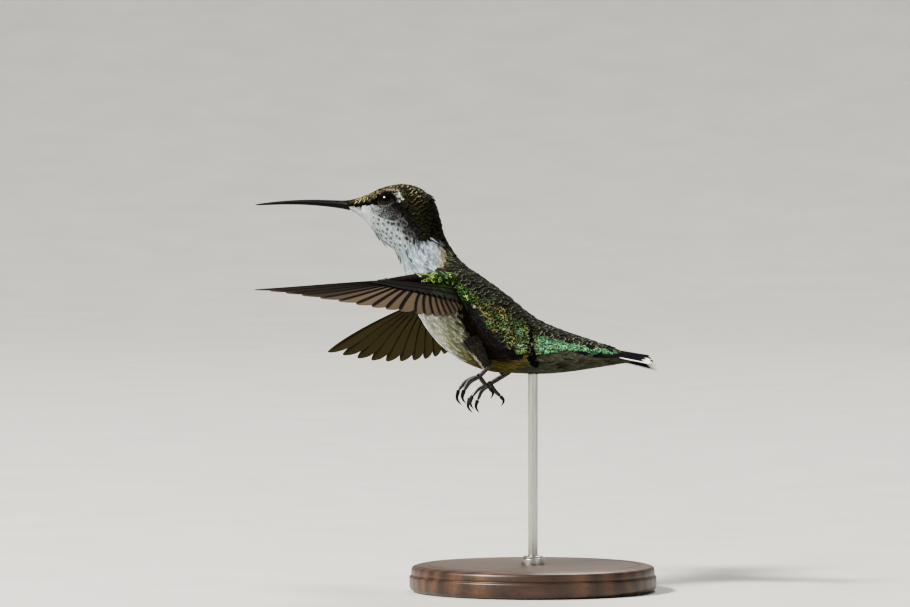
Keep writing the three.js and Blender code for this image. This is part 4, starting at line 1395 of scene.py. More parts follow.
def lid(side):
    """A fine beaded ring round the opening: its points, its faces and the tint of each point."""
    share, height, bead, rim, corner, rear = LID.T[:, :, None]
    angle = turns(LID_AROUND)
    axis, along, upright = eye_axes(side)
    # A fold of skin makes the lids meet in a small point in front and behind.
    fold = 1 + 0.05 * np.abs(np.cos(angle)) ** 14
    x = share * fold * np.cos(angle) * OPENING[0] / EYE_RADIUS
    y = share * np.sin(angle) * OPENING[1] / EYE_RADIUS
    out = axis * np.sqrt(1 - x**2 - y**2)[..., None] + along * x[..., None] + upright * y[..., None]
    beads = np.sin(angle * LID_BEADS)
    radius = EYE_RADIUS + height * np.where(height > 0, 1 + 0.45 * beads * bead, 1)
    points = (mirrored(EYE_PLACE, side) + out * radius[..., None]).reshape(-1, 3)
    below = ramp(-0.2, -0.9, np.sin(angle)) * (0.5 + 0.5 * beads) * rim
    # The lids meet in front in a small pale corner.
    front = ramp(0.9, 0.98, np.cos(angle + 0.25)) * corner
    tint = mix(colour("#060505"), colour("#98938b"), np.maximum(below, 0.6 * front)[..., None])
    # Behind the eye the pale spot begins on the lid.
    spotted = ramp(0.84, 0.93, np.cos(angle - np.radians(162))) * rear
    spotted = spotted * (0.55 + 0.45 * np.sin(angle * 41 + np.arange(len(LID))[:, None] * 2.4))
    tint = mix(tint, colour("#c9cbce"), spotted[..., None])
    return points, outward(points, [ring_faces(len(LID), LID_AROUND, looped=True)]), tint


print("a lid has", len(lid(1)[0]), "points")

# %% [markdown]
# ## Colours of the skin
# Between the feathers the skin shows as a dark ground of the same pattern: painted shade in the gaps between
# them. Every point of it is matched to the nearest place on the body's outline, and takes the look of that
# place, darkened.

# %% Where each point of skin lies
def body_places(points):
    """The station and angle of the nearest place on the skin's outline, and how far off it is."""
    stations, angles = np.linspace(0, LAST, 160), turns(120)
    grid = coat_at(stations[:, None], angles[None, :]).reshape(-1, 3)
    tree = KDTree(len(grid))
    for number, point in enumerate(grid.tolist()):
        tree.insert(point, number)
    tree.balance()
    found = [tree.find(point) for point in points.tolist()]
    index = np.array([number for _, number, _ in found])
    return stations[index // 120], angles[index % 120], np.array([distance for _, _, distance in found])


def skin_pile():
    at, turn, off = body_places(skin_points)
    web = looks_at(at, turn, coat_at(at, turn))[:, WEB]
    # Painted shade between the feathers: the skin is darker than its look, most under dark feathers. Skin off
    # the outline turns dark brown.
    web = web * mix(0.5, 0.96, ramp(0.1, 0.35, web.mean(-1)))[:, None]
    pile = Pile()
    pile.add(skin_points, skin_faces, tint=mix(web, colour("#241f18"), ramp(0.35, 0.8, off)[:, None]))
    for side in SIDES.values():
        points, faces, tint = lid(side)
        pile.add(points, faces, tint=tint)
    return pile


def bare_skin():
    finish = Finish("Skin")
    mottle = finish.noise(900.0, 4.0)
    pores = finish.add("TexVoronoi", {"Vector": finish.place, "Scale": 4200.0}, "Distance")
    return finish.done({
        "Base Color": finish.shaded(finish.attribute("tint"), 0.75 + mottle * 0.5),
        "Roughness": 0.55 + mottle * 0.2,
        "Specular IOR Level": 0.08,
    }, (pores, 0.4, 0.00004))


FLESH_NODES = ["head", "neck", "trunk", "tail_coverts"]
FLESH_NODES += [f"{part}_{name}_{end}" for name in SIDES for part, end in (("wing", "arm"), ("leg", "thigh"))]
skin_pile().piece("skin", bare_skin(), "plumage_green", *FLESH_NODES)

# %% [markdown]
# ## Bill
# A bill is bone in a sheath of black horn. Upper and lower half are each a tapered shell that meet at a fine
# line, with a ridge along the top and a slit of a nostril near the root. Two lofts with a shaped section give
# the line and the ridge as true form, and the horn's low gloss shows them.

# %% Bill halves
BILL_BASE = np.array([-20.7, 0, 15.9])
BILL_LENGTH, BILL_ARCH, BILL_DEPTH, BILL_WIDTH, BILL_TIP = 17.6, 0.5, 1.75, 1.95, 0.28


def bill_half(upper):
    share = np.r_[np.linspace(-0.06, 0.9, 110), np.linspace(0.9, 1.0, 24)[1:]][:, None]
    clipped = np.clip(share, 0, 1)
    taper = mix(1, BILL_TIP, np.sqrt(clipped)) * np.sqrt(1.003 - clipped**6)
    angle = np.linspace(0, np.pi, 25)
    off_ridge = np.abs(angle - np.pi / 2)
    ridge = 1 + 0.10 * np.exp(-((off_ridge / 0.22) ** 2)) * ramp(0.9, 0.2, clipped)
    groove = 1 - 0.10 * np.exp(-(((off_ridge - 0.95) / 0.2) ** 2)) * ramp(0.8, 0.1, clipped)
    slit = ((share - 0.075) / 0.05) ** 2 + ((off_ridge - 0.85) / 0.2) ** 2
    nostril = 1 - (0.22 if upper else 0.0) * np.exp(-slit)
    reach = taper * ridge * groove * nostril
    y = BILL_WIDTH / 2 * reach * np.cos(angle)
    z = 0.025 + BILL_DEPTH / 2 * (1.04 if upper else 0.94) * reach * np.sin(angle) * 0.97
    # Where the halves meet each is flat, and a little narrower.
    flat = y[:, -2:0:-1] * 0.96
    y = np.concatenate([y, flat], 1)
    z = np.concatenate([z, np.full(flat.shape, 0.02)], 1) * (1 if upper else -1)
    x = np.broadcast_to(BILL_BASE[0] - 0.3 - BILL_LENGTH * share, y.shape)
    pile = Pile()
    pile.add(*closed(np.stack([x, y, BILL_BASE[2] + BILL_ARCH * np.sin(np.pi * clipped) + z], -1)))
    return pile


def horn(name, dark, light, scale):
    """Horn with lengthwise grain: thin dark fibres, a little paler in places of wear."""
    finish = Finish(name)
    fibre = finish.noise(scale, 5.0, finish.stretched(0.12, 1.0, 1.0), Roughness=0.6)
    return finish.done({
        "Base Color": finish.stops(fibre, (0.35, dark), (0.72, light)),
        "Roughness": 0.34 + fibre * 0.25,
        "Specular IOR Level": 0.12,
    }, (fibre, 0.25, 0.00003))


BILL_HORN = horn("Bill horn", "#030304", "#0b0b0f", 6000.0)
bill_half(True).piece("bill_upper_half", BILL_HORN, "bill_horn", "bill_upper")
bill_half(False).piece("bill_lower_half", BILL_HORN, "bill_horn", "bill_lower")

# %% [markdown]
# ## Flight feathers
# Ten primaries carry the hand and six secondaries the arm. Each has a stiff shaft near its leading edge, a
# narrow outer web and a wide inner web. Seen from above, each lies over its outer neighbour, like slates. A
# grid of points between two edge lines makes the web, closed on its rim, and a thin tube makes the shaft.

# %% One flight feather
SHAFT_END = 0.94  # the share of the web at which the shaft ends
WEB_ACROSS = np.r_[np.linspace(-1, 0, 5), np.linspace(0, 1, 9)[1:]]  # outer edge, shaft and inner edge


def web_grid(path, outer, inner, tip_reach, rows, rough, rng):
    """Flat points of a web, row by row from its root, and how far along it each row is."""
    reach = np.linspace(0, 1, rows) ** 0.9
    root_taper = ramp(0.0, 0.12, reach) * 0.85 + 0.15
    tip_taper = np.sqrt(np.clip(1 - (np.clip(reach - tip_reach, 0, 1) / (1 - tip_reach)) ** 2, 0, 1))
    width = root_taper * np.maximum(tip_taper, 0.12) * (1 + rough * rng.normal(0, 1, rows))
    across = WEB_ACROSS[:, None]
    offset = np.where(across < 0, -across * outer(reach)[:, None], across * inner(reach)[:, None])
    return path(reach)[:, None] + offset * width[:, None, None], reach


def sheet_faces(rows, columns):
    """The upper side of a closed sheet, its under side and the wall round its edge."""
    r, c = np.meshgrid(np.arange(rows - 1), np.arange(columns - 1), indexing="ij")
    corner = (r * columns + c).ravel()
    upper = np.stack([corner, corner + 1, corner + columns + 1, corner + columns], -1)
    size = rows * columns
    edge = np.r_[np.arange(columns), np.arange(1, rows) * columns + columns - 1,
                 (rows - 1) * columns + np.arange(columns - 2, -1, -1), np.arange(rows - 2, 0, -1) * columns]
    wall = np.stack([edge, edge + size, np.roll(edge, -1) + size, np.roll(edge, -1)], -1)
    return np.concatenate([upper, upper[:, ::-1] + size, wall])


def flight_feather(pile, surface, web, lift, tilt, thick, shaft_radius, values, number):
    """Adds a web as a closed sheet, lifted off a surface and tilted across, and its shaft."""
    flat, reach = web
    shape = (2, *flat.shape[:2])
    crown = thick * (0.35 + 0.65 * (1 - np.abs(WEB_ACROSS)))
    height = lift + tilt * WEB_ACROSS + np.array([0.5, -0.5])[:, None, None] * crown
    points = surface(flat[..., 0], flat[..., 1], height).reshape(-1, 3)
    faces = outward(points, [sheet_faces(*flat.shape[:2])])
    x, y = np.broadcast_to(WEB_ACROSS, shape), np.broadcast_to(reach[:, None], shape)
    uv = np.array([0.02 + 0.09 * number, 0.5])
    patch = uv + np.stack([0.5 + 0.5 * x, y], -1) * PATCH
    filled = {key: np.broadcast_to(value, (*shape, 3)) for key, value in values.items()}
    pile.add(points, faces, leaf=np.stack([x, y, np.zeros(shape)], -1), uv=patch, **filled)
    shaft = reach < SHAFT_END
    line = surface(*flat[shaft, np.argmin(np.abs(WEB_ACROSS))].T, lift)
    points, faces = tube(line, shaft_radius * mix(1.0, 0.25, reach[shaft]), 6)
    count = len(points)
    filled = {key: np.tile(np.reshape(value, (-1, 3))[0], (count, 1)) for key, value in values.items()}
    pile.add(points, faces, leaf=np.tile([0.0, 0.5, 1.0], (count, 1)), uv=np.tile(uv, (count, 1)), **filled)


print("a flight feather has", len(WEB_ACROSS), "points across")


# %% Fans of feathers
def wing_curve(*points):
    return smooth_through([(u, v, 0.0) for u, v in points])


FANS = {
    "primaries": {
        "roots": wing_curve((7.6, 2.3), (11.2, 1.5), (13.6, 0.7), (14.2, -0.1)),
        "tips": wing_curve((19, 13.2), (30.5, 13.0), (42, 9.6), (WING_LENGTH, 2.4)),
        "count": 10, "rows": 64, "bow": 0.035, "tip_reach": (0.82, 0.66), "shaft": (0.22, 0.15),
        "lift": 0.0, "fall": 0.004},
    "secondaries": {
        "roots": wing_curve((2.6, 2.9), (5, 2.9), (7.7, 2.6)),
        "tips": wing_curve((4.2, 10.2), (10.5, 12.4), (18.0, 13.2)),
        "count": 6, "rows": 40, "bow": 0.05, "tip_reach": (0.86, 0.86), "shaft": (0.22, 0.15),
        "lift": 0.0, "fall": 0.004},
    "tertials": {
        "roots": wing_curve((0.3, 2.2), (1.4, 2.6), (2.6, 2.8)),
        "tips": wing_curve((-0.6, 7.0), (1.6, 8.6), (4.2, 9.9)),
        "count": 3, "rows": 30, "bow": 0.04, "tip_reach": (0.7, 0.7), "shaft": (0.13, 0.13),
        "lift": 0.06, "fall": 0.0},
}


def fan_feather(roots, tips, share, step, bow):
    """The shaft of a feather in a fan as a path, and the ways from it to the outer and the inner edge."""
    def path(reach):
        root, tip = roots(share), tips(share)
        way = tip - root
        side = unit(np.array([way[1], -way[0], 0]))
        arc = np.sin(np.pi * reach) * 0.6 * bow
        return (root + way * reach[:, None] + side * (arc * np.linalg.norm(way))[:, None])[:, :2]

    def to(change, narrowed=0.0):
        # Past the end of the fan the step of the other side is mirrored.
        sign = 1 if 0 <= share + change <= 1 else -1
        other = share + sign * change

        def offset(reach):
            reach = reach[:, None]
            gap = mix(roots(other), tips(other), reach) - mix(roots(share), tips(share), reach)
            return sign * gap[:, :2] * (1 - narrowed * reach)

        return offset

    return path, to(step * 0.42, narrowed=0.45), to(-step * 1.1)


print("primary tips", FANS["primaries"]["tips"](np.linspace(0, 1, 4)).round(1).tolist())

# %% [markdown]
# ## Wing webs
# The webs are brown and thin, darker on the narrow outer side and in the outer primaries, and paler on the
# inner side where light comes through. Fine stripes at a slant follow the barbs. The shaft is dark.

# %% Material of the flight feathers
def quill_feathers(name):
    finish = Finish(name)
    web, fringe, heart = (finish.attribute(key) for key in ("web", "fringe", "heart"))
    across, reach, shaft = finish.split(finish.attribute("leaf", "Vector"))
    length, edge_width, tip_width = finish.split(finish.attribute("marks", "Vector"))
    wide = finish.maths("ABSOLUTE", across)
    barb = reach * length - wide * 1.4
    fine = finish.maths("SINE", barb * 24.0)
    warp = finish.noise(700.0, 4.0)
    bands = finish.add("TexNoise", {"W": barb, "Scale": 3.0, "Detail": 3.0}, "Fac", noise_dimensions="1D")
    tint = finish.mixed(finish.step_up(across, 0.0, 0.22), heart, web)
    tint = finish.mixed(finish.step_up(wide + edge_width, 0.96, 1.06), tint, fringe)
    tint = finish.mixed(finish.step_up(reach + tip_width, 0.9, 1.08), tint, fringe)
    tint = finish.shaded(tint, 0.62 + bands * 0.5 + warp * 0.26 + fine * 0.05)
    return finish.done({
        "Base Color": finish.mixed(shaft * 0.9, tint, rgba("#16100d")),
        "Roughness": 0.62 + warp * 0.2,
        "Specular IOR Level": 0.03,
    }, (fine * 0.4 + bands, 0.3, 0.00003))


WING_WEB = quill_feathers("Flight feathers")

# %% Primaries and secondaries
# The under side's colours are darker and more olive than the upper side's: painted shade of the under side.
WEB_TINTS = {  # above and below
    "web": ("#564a3c", "#37311a"),
    "heart": ("#140a09", "#231e12"),
    "fringe": ("#635546", "#3d351e"),
}
WEB_EDGE = 0.02  # how wide the pale edge of a web is, as a share of the web
TERTIAL_STRIPES = 6.0


def wing_looks(rng, length):
    """Colours of the inner web, the outer web and the edge, for the upper and the under side."""
    bright = rng.normal(1, 0.06)
    looks = {part: np.array([colour(code) for code in codes]) * bright for part, codes in WEB_TINTS.items()}
    looks = {part: tints[:, None, None] for part, tints in looks.items()}
    return {**looks, "marks": np.array([length, WEB_EDGE, 0.0])}


def fan_pile(part, surface, rng):
    """The feathers of one fan. Like slates, the outer edge of each lies over its outer neighbour."""
    fan = FANS[part]
    roots, tips, count = fan["roots"], fan["tips"], fan["count"]
    pile = Pile()
    for number in range(count):
        share = number / count
        ways = fan_feather(roots, tips, (number + 0.62) / count, 0.9 / count, fan["bow"])
        web = web_grid(*ways, mix(*fan["tip_reach"], share), fan["rows"], 0.012, rng)
        length = TERTIAL_STRIPES if part == "tertials" else np.linalg.norm(tips(share) - roots(share))
        looks = wing_looks(rng, length)
        if part == "primaries":
            looks["web"][0] *= mix(1.0, 0.12, ramp(3.5, 7, number))
        lift = fan["lift"] - fan["fall"] * number
        flight_feather(pile, surface, web, lift, -0.075, 0.07, mix(*fan["shaft"], share), looks, number)
    return pile


for name, plane in PLANES.items():
    rng = np.random.default_rng(31)
    for part in ("primaries", "secondaries"):
        fan_pile(part, plane, rng).piece(f"{part}_{name}", WING_WEB, "wing_feathers", f"wing_{name}_{part}")

# %% [markdown]
# ## Coverts
# Small feathers clothe the wing's arm on both sides and cover the roots of the flight feathers. The smallest
# lie on the arm's own surface. Behind them three rows of longer ones lie on the wing's plane, raised over the
# arm. All are dark brown, and those on top near the shoulder glitter green.

# %% Surfaces for the coverts
def arm_surface(plane, over):
    """The arm's surface by the angle from its front edge, over its top (1) or under it (-1), and by u."""
    def at(turn, u, height=0.0):
        turn, u, height = np.broadcast_arrays(turn, u, height)
        grow = height - ARM_COAT
        v = arm_part(u, 3) - (arm_part(u, 1) + grow) * np.cos(turn)
        return plane(u, v, over * np.maximum(arm_part(u, 2) + grow, 0.1) * np.sin(turn))
    return at


def plane_surface(plane, over):
    """The wing's plane, raised over the arm, by u and v."""
    def at(u, v, height=0.0):
        share = np.clip((v - arm_part(u, 3)) / (arm_part(u, 1) - ARM_COAT * 0.5), 0, 1)
        bulge = np.sqrt(1 - share**2) * (arm_part(u, 2) - ARM_COAT)
        return plane(u, v, over * (np.maximum(bulge, 0.14) + height))
    return at


def quill_way(u):
    """The way in (u, v) in which the flight feathers point, behind a place on the arm."""
    shares = np.linspace(0, 1, 40)
    roots, ways = [], []
    for part, used in (("secondaries", 40), ("primaries", 30)):
        starts, ends = FANS[part]["roots"](shares), FANS[part]["tips"](shares)
        roots.append(starts[:used, 0])
        ways.append(unit(ends - starts)[:used])
    roots, ways = np.concatenate(roots), np.concatenate(ways)
    order = np.argsort(roots)
    return unit(np.stack([np.interp(u, roots[order], ways[order, i]) for i in (0, 1)], -1))


print("behind the wrist the quills point", quill_way(np.array([8.0])).round(2))


# %% Rows of coverts
COVERT_ROWS = (  # first u, spacing, how far back, length, width, rise
    (-0.9, 0.9, 1.3, 4.6, 1.45, 0.12),
    (-1.2, 0.8, 0.95, 3.0, 1.2, 0.2),
    (-1.5, 0.7, 0.6, 2.1, 1.0, 0.24),
)
UNWRAP_SPAN = 50  # the length of the wing on the unwrap, in mm


def lesser_coverts(pile, plane, over, rng):
    surface = arm_surface(plane, over)
    places = [(turn, u + rng.normal(0, 0.06))
              for number, turn in enumerate(np.linspace(0.05, 1.85, 7))
              for u in np.arange(-1.9 + 0.3 * (number % 2), ARM_LENGTH - 0.5, 0.6)]
    turn, u = np.array(places).T
    bare = ramp(1.0, 3.0, u) * ramp(7.0, 5.0, u)
    heading = np.radians(mix(24, 58, bare) + rng.normal(0, 7, len(u)))
    steps = steps_along(surface, turn, u, heading)
    size = mix(1.0, 0.62, ramp(5, 14, u))
    long = 1.75 * size * (1 + 0.35 * bare)
    green = ramp(6.5, 3.5, u + rng.normal(0, 0.6, len(u)))
    rows = look_rows("under covert", len(u))
    if over > 0:
        rows = look_rows("covert", len(u), "small covert", green)
        rows[(rng.random(len(u)) < 0.12 + 0.4 * bare) & (u < 6.3)] = LOOKS["bright covert"]
    uv = (u / UNWRAP_SPAN, 0.25 + over * 0.12 + 0.05 * turn)
    lay_feathers(pile, surface, HEAD_LEAF, turn, u, steps, long, 0.95 * size, 0.0, 0.28, 0.15, rows, rng, uv)


def covert_row(pile, plane, over, rng, start, spacing, back, length, width, rise):
    u = np.arange(start, ARM_LENGTH, spacing)
    v = arm_part(u, 3) + arm_part(u, 1) * 0.55 * back
    size = mix(1.0, 0.8, ramp(9, 15, u))
    green = (0.8 if length < 2.5 else 0.35) * ramp(6, 3, u) if over > 0 else 0.0
    rows = look_rows("covert" if over > 0 else "under covert", len(u), "small covert", green)
    way = quill_way(u)
    steps = (way, np.stack([-way[:, 1], way[:, 0]], -1))
    uv = (u / UNWRAP_SPAN, np.full(len(u), 0.5 + over * (0.1 + 0.02 * length)))
    lay_feathers(pile, plane_surface(plane, over), BODY_LEAF, u, v, steps, length * size, width * size, 0.02,
                 rise, 0.06, rows, rng, uv, sweep=0.04)


for name, plane in PLANES.items():
    rng = np.random.default_rng(53)
    pile = Pile()
    for over in (1, -1):
        for row in COVERT_ROWS:
            covert_row(pile, plane, over, rng, *row)
        lesser_coverts(pile, plane, over, rng)
    pile.piece(f"coverts_{name}", PLUMAGE, "plumage_green")

# %% [markdown]
# ## Tertials
# Between the last secondary and the body three short, broad feathers close the wing, so that no daylight
# shows there. They are drawn as the other flight feathers are.

# %% Tertials
for name, plane in PLANES.items():
    tertials = fan_pile("tertials", plane, np.random.default_rng(37))
    tertials.piece(f"tertials_{name}", WING_WEB, "wing_feathers")

# %% [markdown]
# ## Thighs
# The thigh is a feathered drumstick. Soft feathers run down it to the heel, dark on its outer side with a
# pale front edge, and its surface is the tube that the skin was made from.

# %% Feathers of the thighs
def thigh_surface(name, side):
    knee, heel, _ = (mirrored(p, side) for p in LEGS[name])
    length = np.linalg.norm(heel - knee) * THIGH_SHARE
    way = unit(heel - knee)
    front = unit(np.array([-1.0, 0, 0]) + way * way[0])
    outer = np.cross(way, front)

    def at(down, turn, height=0.0):
        down, turn, height = np.broadcast_arrays(down, turn, height)
        share = down / length
        past = np.clip((share - 1.0) / 0.55, 0, 1)
        radius = (thigh_flesh(share) + height) * np.sqrt(np.clip(1 - past**2, 0.05, 1))
        ring = np.cos(turn)[..., None] * front + np.sin(turn)[..., None] * outer
        return knee + way * down[..., None] + ring * radius[..., None]

    return at, length


def thigh_feathers(name, side):
    rng = np.random.default_rng(61)
    surface, length = thigh_surface(name, side)
    places = [(down, (turn + 0.5 * (number % 2)) / count * 2 * np.pi + rng.normal(0, 0.06))
              for number, down in enumerate(np.arange(-0.4, length - 0.5, 0.5))
              for count in [int(mix(22, 12, max(down, 0) / length))]
              for turn in range(count)]
    down, turn = np.array(places).T
    steps = steps_along(surface, down, turn, rng.normal(0, 0.12, len(down)))
    border = mix(0.93, 0.76, np.clip(down / length, 0, 1))
    pale = ramp(border, border + 0.14, np.cos(turn - 0.55 * side) + rng.normal(0, 0.07, len(down)))
    rows = look_rows("thigh", len(down), "thigh edge", pale)
    pile = Pile()
    uv = (down / 68 + 0.3, (turn / (2 * np.pi)) % 1)
    size = mix(1.0, 0.7, np.clip(down / length, 0, 1))
    lay_feathers(pile, surface, SOFT_LEAF, down, turn, steps, 1.9 * size, 0.85 * size, 0.03, 0.36 * size,
                 0.06, rows, rng, uv)
    pile.piece(f"feathers_thigh_{name}", PLUMAGE, "plumage_white")


for name, side in SIDES.items():
    thigh_feathers(name, side)

# %% [markdown]
# ## Tail
# Ten tail feathers lie in a stack, the middle pair on top and green, the outer ones lowest with a blue-black
# band and a white tip. They are drawn on the tail's own surface, which bends down at its sides like a roof.

# %% The tail's surface
TAIL_ROOT = np.array([25.6, 0, -10.6])
TAIL_LENGTH = 13.35
TAIL_SLOPE, TAIL_SPREAD = np.radians(-8.5), np.radians(14)
TAIL_ROOT_HALF, TAIL_ROOF = 1.9, 1.72


def tail_at(across, along, lift=0.0):
    across, along, lift = np.broadcast_arrays(np.asarray(across, float), along, lift)
    length = TAIL_LENGTH * (1 - 0.14 * (1 - np.clip(across**2, 0, 1)) ** 1.5)
    turn = across * TAIL_SPREAD
    reach = along * length
    down = TAIL_ROOF * across**2 * (0.5 + 0.5 * along)
    x, y, z = reach * np.cos(turn), across * TAIL_ROOT_HALF + reach * np.sin(turn), lift - down
    cos, sin = np.cos(-TAIL_SLOPE), np.sin(-TAIL_SLOPE)
    return np.stack([x * cos + z * sin, y, z * cos - x * sin], -1) + TAIL_ROOT


print("tail's tip", tail_at(0, 1).round(2))


# %% Looks of the tail feathers
BAND_START = (None, 0.62, 0.42, 0.36, 0.34)  # where the dark band begins, from the middle pair outwards
WHITE_START = {3: 0.92, 4: 0.87}
TAIL_MARKS = np.array([13.0, -0.2, -0.5])


def tail_looks(rng, rank, reach):
    """Green at the base, then a blue-black band, then white at the tips of the outer two pairs."""
    reach, across = np.broadcast_arrays(reach[:, None], WEB_ACROSS)
    green, grey, bronze, black, white, dull = (
        colour(code) for code in ("#262b12", "#33351f", "#37331a", "#0b0a17", "#ecebe7", "#1b1a16"))
    slant = reach + 0.05 * np.abs(across)
    if rank == 0:
        web = mix(green, bronze, ramp(0.5, 0.9, reach)[..., None])
    else:
        base = mix(green, grey, 0.0 if rank < 2 else 0.45)
        web = mix(base, black, ramp(BAND_START[rank], BAND_START[rank] + 0.12, slant)[..., None])
    if rank in WHITE_START:
        tip = ramp(0, 0.04, slant - WHITE_START[rank])
        if rank == 4:
            tip = np.maximum(tip, ramp(0.50, 0.56, reach) * ramp(-0.2, -0.5, across))
        web = mix(web, white, tip[..., None])
    web = web * rng.normal(1, 0.04)
    both = np.stack([web, mix(web, dull, (0.5 * ramp(0.99, 0.9, reach))[..., None])])
    return {"web": both, "heart": both, "fringe": both, "marks": TAIL_MARKS}


# %% Tail feathers
def across_tail(across, along=0.0):
    """A way on the tail that stays as far across it, and runs along it with the reach."""
    return lambda reach: np.stack([np.full(len(reach), across), reach * along], -1)


def tail_feathers():
    rng = np.random.default_rng(41)
    pile = Pile()
    for number in range(10):
        rank = int(abs(number - 4.5))  # 0 for the middle pair, 4 for the outer one
        sign = 1 if number > 4 else -1
        path = across_tail((number + 0.5 - 5) / 5 + 0.03 * sign, 0.995)
        outer, inner = across_tail(0.075 * sign), across_tail(-0.28 * sign)
        flat, reach = web_grid(path, outer, inner, 0.965, 44, 0.01, rng)
        flat[..., 0] = np.clip(flat[..., 0], -1.0, 1.0)
        # The far end is rounded: the edges of the web stop short of the shaft.
        flat[..., 1] -= 0.02 * np.abs(WEB_ACROSS) ** 1.5 * ramp(0.5, 1.0, reach)[:, None]
        looks = tail_looks(rng, rank, reach)
        flight_feather(pile, tail_at, (flat, reach), 0.2 - 0.09 * rank, 0.035, 0.06, 0.13, looks, number)
    return pile


tail_feathers().piece("tail_fan", quill_feathers("Tail feathers"), "tail_feathers", "tail")

# %% [markdown]
# ## Feet
# A hummingbird's foot is tiny and clad in horny rings called scutes. Each toe is a tube round its path. The
# rings are made by a saw-tooth in the tube's radius, so that they catch the light as real steps. The claws
# are separate: thin, flattened, strongly curved.

# %% Scutes and the skin of the feet
def ringed(path_points, radius, taper, scutes, rings=70, around=14):
    """A tube with scutes along a smooth path, how far along its scute each point lies, and how far on top."""
    share = np.linspace(0, 1, rings)
    path = smooth_through(path_points)(share)
    saw = (share * scutes) % 1
    size = radius * mix(1, taper, share) * (1 + 0.13 * (1 - saw) ** 2 * ramp(0, 0.08, saw) - 0.03)
    for end in (share, 1 - share):
        size = size * np.sqrt(np.clip(1.02 - end**14, 0.05, 1))
    points, faces = tube(path, size, around)
    out = unit(points - np.repeat(path, around, axis=0))
    # The side that faces up and forward, towards the key lamp, is marked for a painted highlight.
    top = ramp(0.05, 0.55, out @ unit(np.array([-0.75, 0, 0.65])))
    return points, faces, {"scute": np.repeat(saw, around), "top": top}


def foot_skin():
    finish = Finish("Foot skin")
    scute = finish.attribute("scute", "Fac")
    noise = finish.noise(3500.0, 4.0)
    cells = finish.add(
        "TexVoronoi", {"Vector": finish.place, "Scale": 5200.0}, "Distance", feature="DISTANCE_TO_EDGE")
    tint = finish.stops(scute, (0.0, "#5a5654"), (0.22, "#2f2b2a"), (0.8, "#181515"), (1.0, "#0a0909"))
    tint = finish.shaded(tint, 0.7 + noise * 0.6)
    # Painted highlight: the toes turn near white on their upper front side, less towards the end of each
    # scute.
    painted_highlight = finish.attribute("top", "Fac") * (0.95 - scute * 0.5)
    return finish.done({
        "Base Color": finish.mixed(painted_highlight, tint, rgba("#f4f1ec")),
        "Roughness": 0.38 + noise * 0.2,
        "Specular IOR Level": 0.45,
    }, (cells, 0.35, 0.00005))


FOOT_SKIN = foot_skin()
CLAW_HORN = horn("Claw horn", "#0b0a0a", "#332f2d", 9000.0)


# %% Feet and claws
KNOB_RADIUS = 0.56


def knob():
    """The ball of the joint where the toes meet."""
    turn = np.linspace(0.05, np.pi - 0.05, 14)
    rings = turned_points(KNOB_RADIUS * np.sin(turn), KNOB_RADIUS * np.cos(turn), 18)
    return rings.reshape(-1, 3), outward(rings.reshape(-1, 3), [ring_faces(14, 18)])


def claw(bends):
    """A curved, flattened claw from the end of a toe over a bend to its point."""
    share = np.linspace(0, 1, 26)
    path = smooth_through([bends[0] + unit(bends[1] - bends[0]) * 0.05, *bends[1:]])(share)
    radius = mix(CLAW_RADIUS * 1.02, 0.05, share**1.5) * np.sqrt(np.clip(1.02 - share**12, 0.02, 1))
    pile = Pile()
    pile.add(*tube(path, radius, 12, 0.8))
    return pile


def foot(name, side):
    _, heel, joint = (mirrored(p, side) for p in LEGS[name])
    pile = Pile()
    shank = [heel + (heel - joint) * 0.25, heel, (heel + joint) / 2, joint + (joint - heel) * 0.08]
    points, faces, marks = ringed(shank, TARSUS_RADIUS, 0.95, 6, 60)
    pile.add(points, faces, **marks)
    points, faces = knob()
    pile.add(points + joint, faces, scute=np.full(len(points), 0.4), top=np.zeros(len(points)))
    for toe, steps in TOES.items():
        bends = [joint + np.array([-forward, out * side, up]) for forward, out, up in steps]
        points, faces, marks = ringed([joint, *bends[:2]], TOE_RADIUS * 1.1, 0.72, 9)
        pile.add(points, faces, **marks)
        claw(bends[1:]).piece(f"nail_{name}_{toe}", CLAW_HORN, "claw_horn", f"claw_{name}_{toe}")
    pile.piece(f"foot_{name}", FOOT_SKIN, "foot_skin", f"leg_{name}_foot")


for name, side in SIDES.items():
    foot(name, side)

# %% [markdown]
# ## Stand
# The stand is turned: a low disc of dark oiled wood with a rounded rim and a fine bead, a thin steel rod and
# a small collar. Lathe profiles give true round edges, and the wood's grain is made from stretched rings.

# %% Turned pieces
def lathe(profile, around=96):
    radius, height = np.array(profile, float).T
    points = turned_points(radius, height, around).reshape(-1, 3)
    return points, outward(points, [ring_faces(len(radius), around)])


def rounded(corners, radius, steps=6):
    """A profile whose corners are rounded."""
    points = [np.array(corners[0], float)]
    for before, corner, after in zip(corners, corners[1:], corners[2:]):
        before, corner, after = (np.array(p, float) for p in (before, corner, after))
        size = min(radius, np.linalg.norm(before - corner) / 2.1, np.linalg.norm(after - corner) / 2.1)
        start, end = corner + unit(before - corner) * size, corner + unit(after - corner) * size
        for share in np.linspace(0, 1, steps):
            points.append(mix(mix(start, corner, share), mix(corner, end, share), share))
    points.append(np.array(corners[-1], float))
    return points


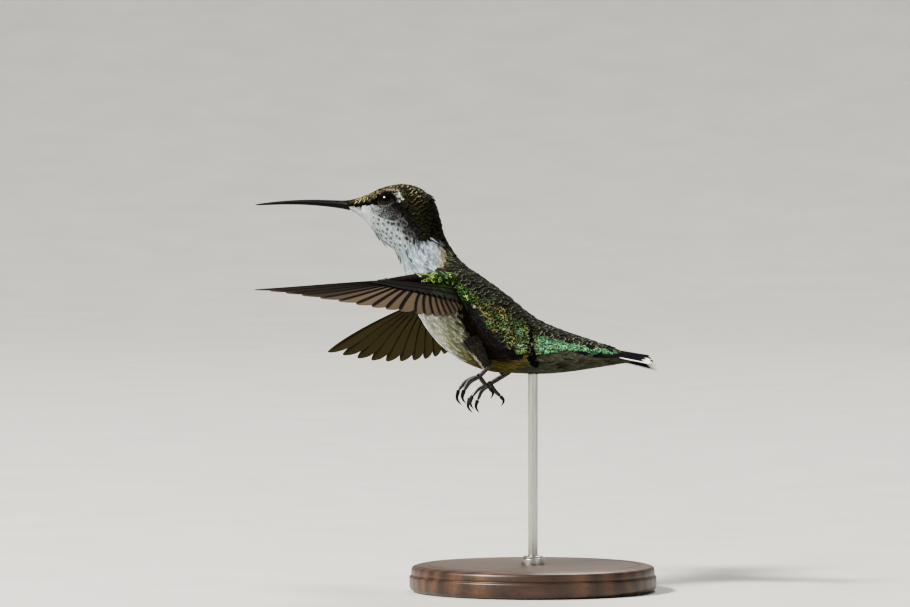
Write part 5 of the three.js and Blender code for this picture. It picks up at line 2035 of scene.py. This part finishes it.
# %% Wood and steel
def wood():
    finish = Finish("Oiled wood")
    grain = finish.stretched(9.0, 90.0, 90.0)
    warp = finish.noise(1.2, 5.0, grain, Distortion=1.4)
    rings = finish.add("TexWave", {"Vector": grain, "Scale": 1.1, "Distortion": 7.0, "Detail": 4.0}, "Fac",
                       wave_type="BANDS", bands_direction="Y")
    pores = finish.noise(1.0, 3.0, finish.stretched(250.0, 3600.0, 3600.0))
    tint = finish.stops(rings * 0.45 + warp * 0.55, (0.2, "#2a1a12"), (0.5, "#402a1c"), (0.8, "#573a26"))
    return finish.done({
        "Base Color": finish.shaded(tint, finish.step_up(pores, 0.36, 0.46), 0.45),
        "Roughness": 0.36 + warp * 0.18,
        "Coat Weight": 0.25,
        "Coat Roughness": 0.3,
    }, (pores, 0.12, 0.0001))


def steel():
    finish = Finish("Satin steel")
    lines = finish.noise(1.0, 3.0, finish.stretched(9000.0, 9000.0, 260.0))
    return finish.done({
        "Base Color": finish.stops(lines, (0.3, "#a9a8a4"), (0.7, "#cfcdc8")),
        "Metallic": 1.0,
        "Roughness": 0.24 + lines * 0.14,
    }, (lines, 0.08, 0.00005))


STEEL = steel()

# %% Base, rod and collar
BASE_RADIUS, BASE_HEIGHT = 23.0, 5.0
TURNED = {  # piece: node, slot, material, profile of (radius, height), and how far its corners are rounded
    "turned_base": ("stand_base", "stand_wood", wood(), [
        (0.01, 0), (22.2, 0), (BASE_RADIUS, 0.7), (BASE_RADIUS, 2.9), (22.5, 3.1), (22.7, 3.4), (22.6, 4.6),
        (21.2, BASE_HEIGHT), (19.9, BASE_HEIGHT), (19.7, 4.85), (19.5, BASE_HEIGHT), (0.01, BASE_HEIGHT),
    ], 0.5),
    "rod": ("stand_rod", "stand_steel", STEEL, [
        (0.01, 4.6), (0.9, 4.6), (0.9, 40.6), (0.6, 40.9), (0.01, 40.9)], 0.2),
    "collar": ("stand_collar", "stand_steel", STEEL, [
        (0.95, 4.9), (2.2, 4.9), (2.2, 6.1), (1.9, 6.3), (1.7, 6.6), (1.25, 6.6), (0.95, 6.5)], 0.16),
}
for name, (node, slot, finish, outline, corner) in TURNED.items():
    turned = Pile()
    turned.add(*lathe(rounded(outline, corner)))
    turned.piece(name, finish, slot, node, turned=False)
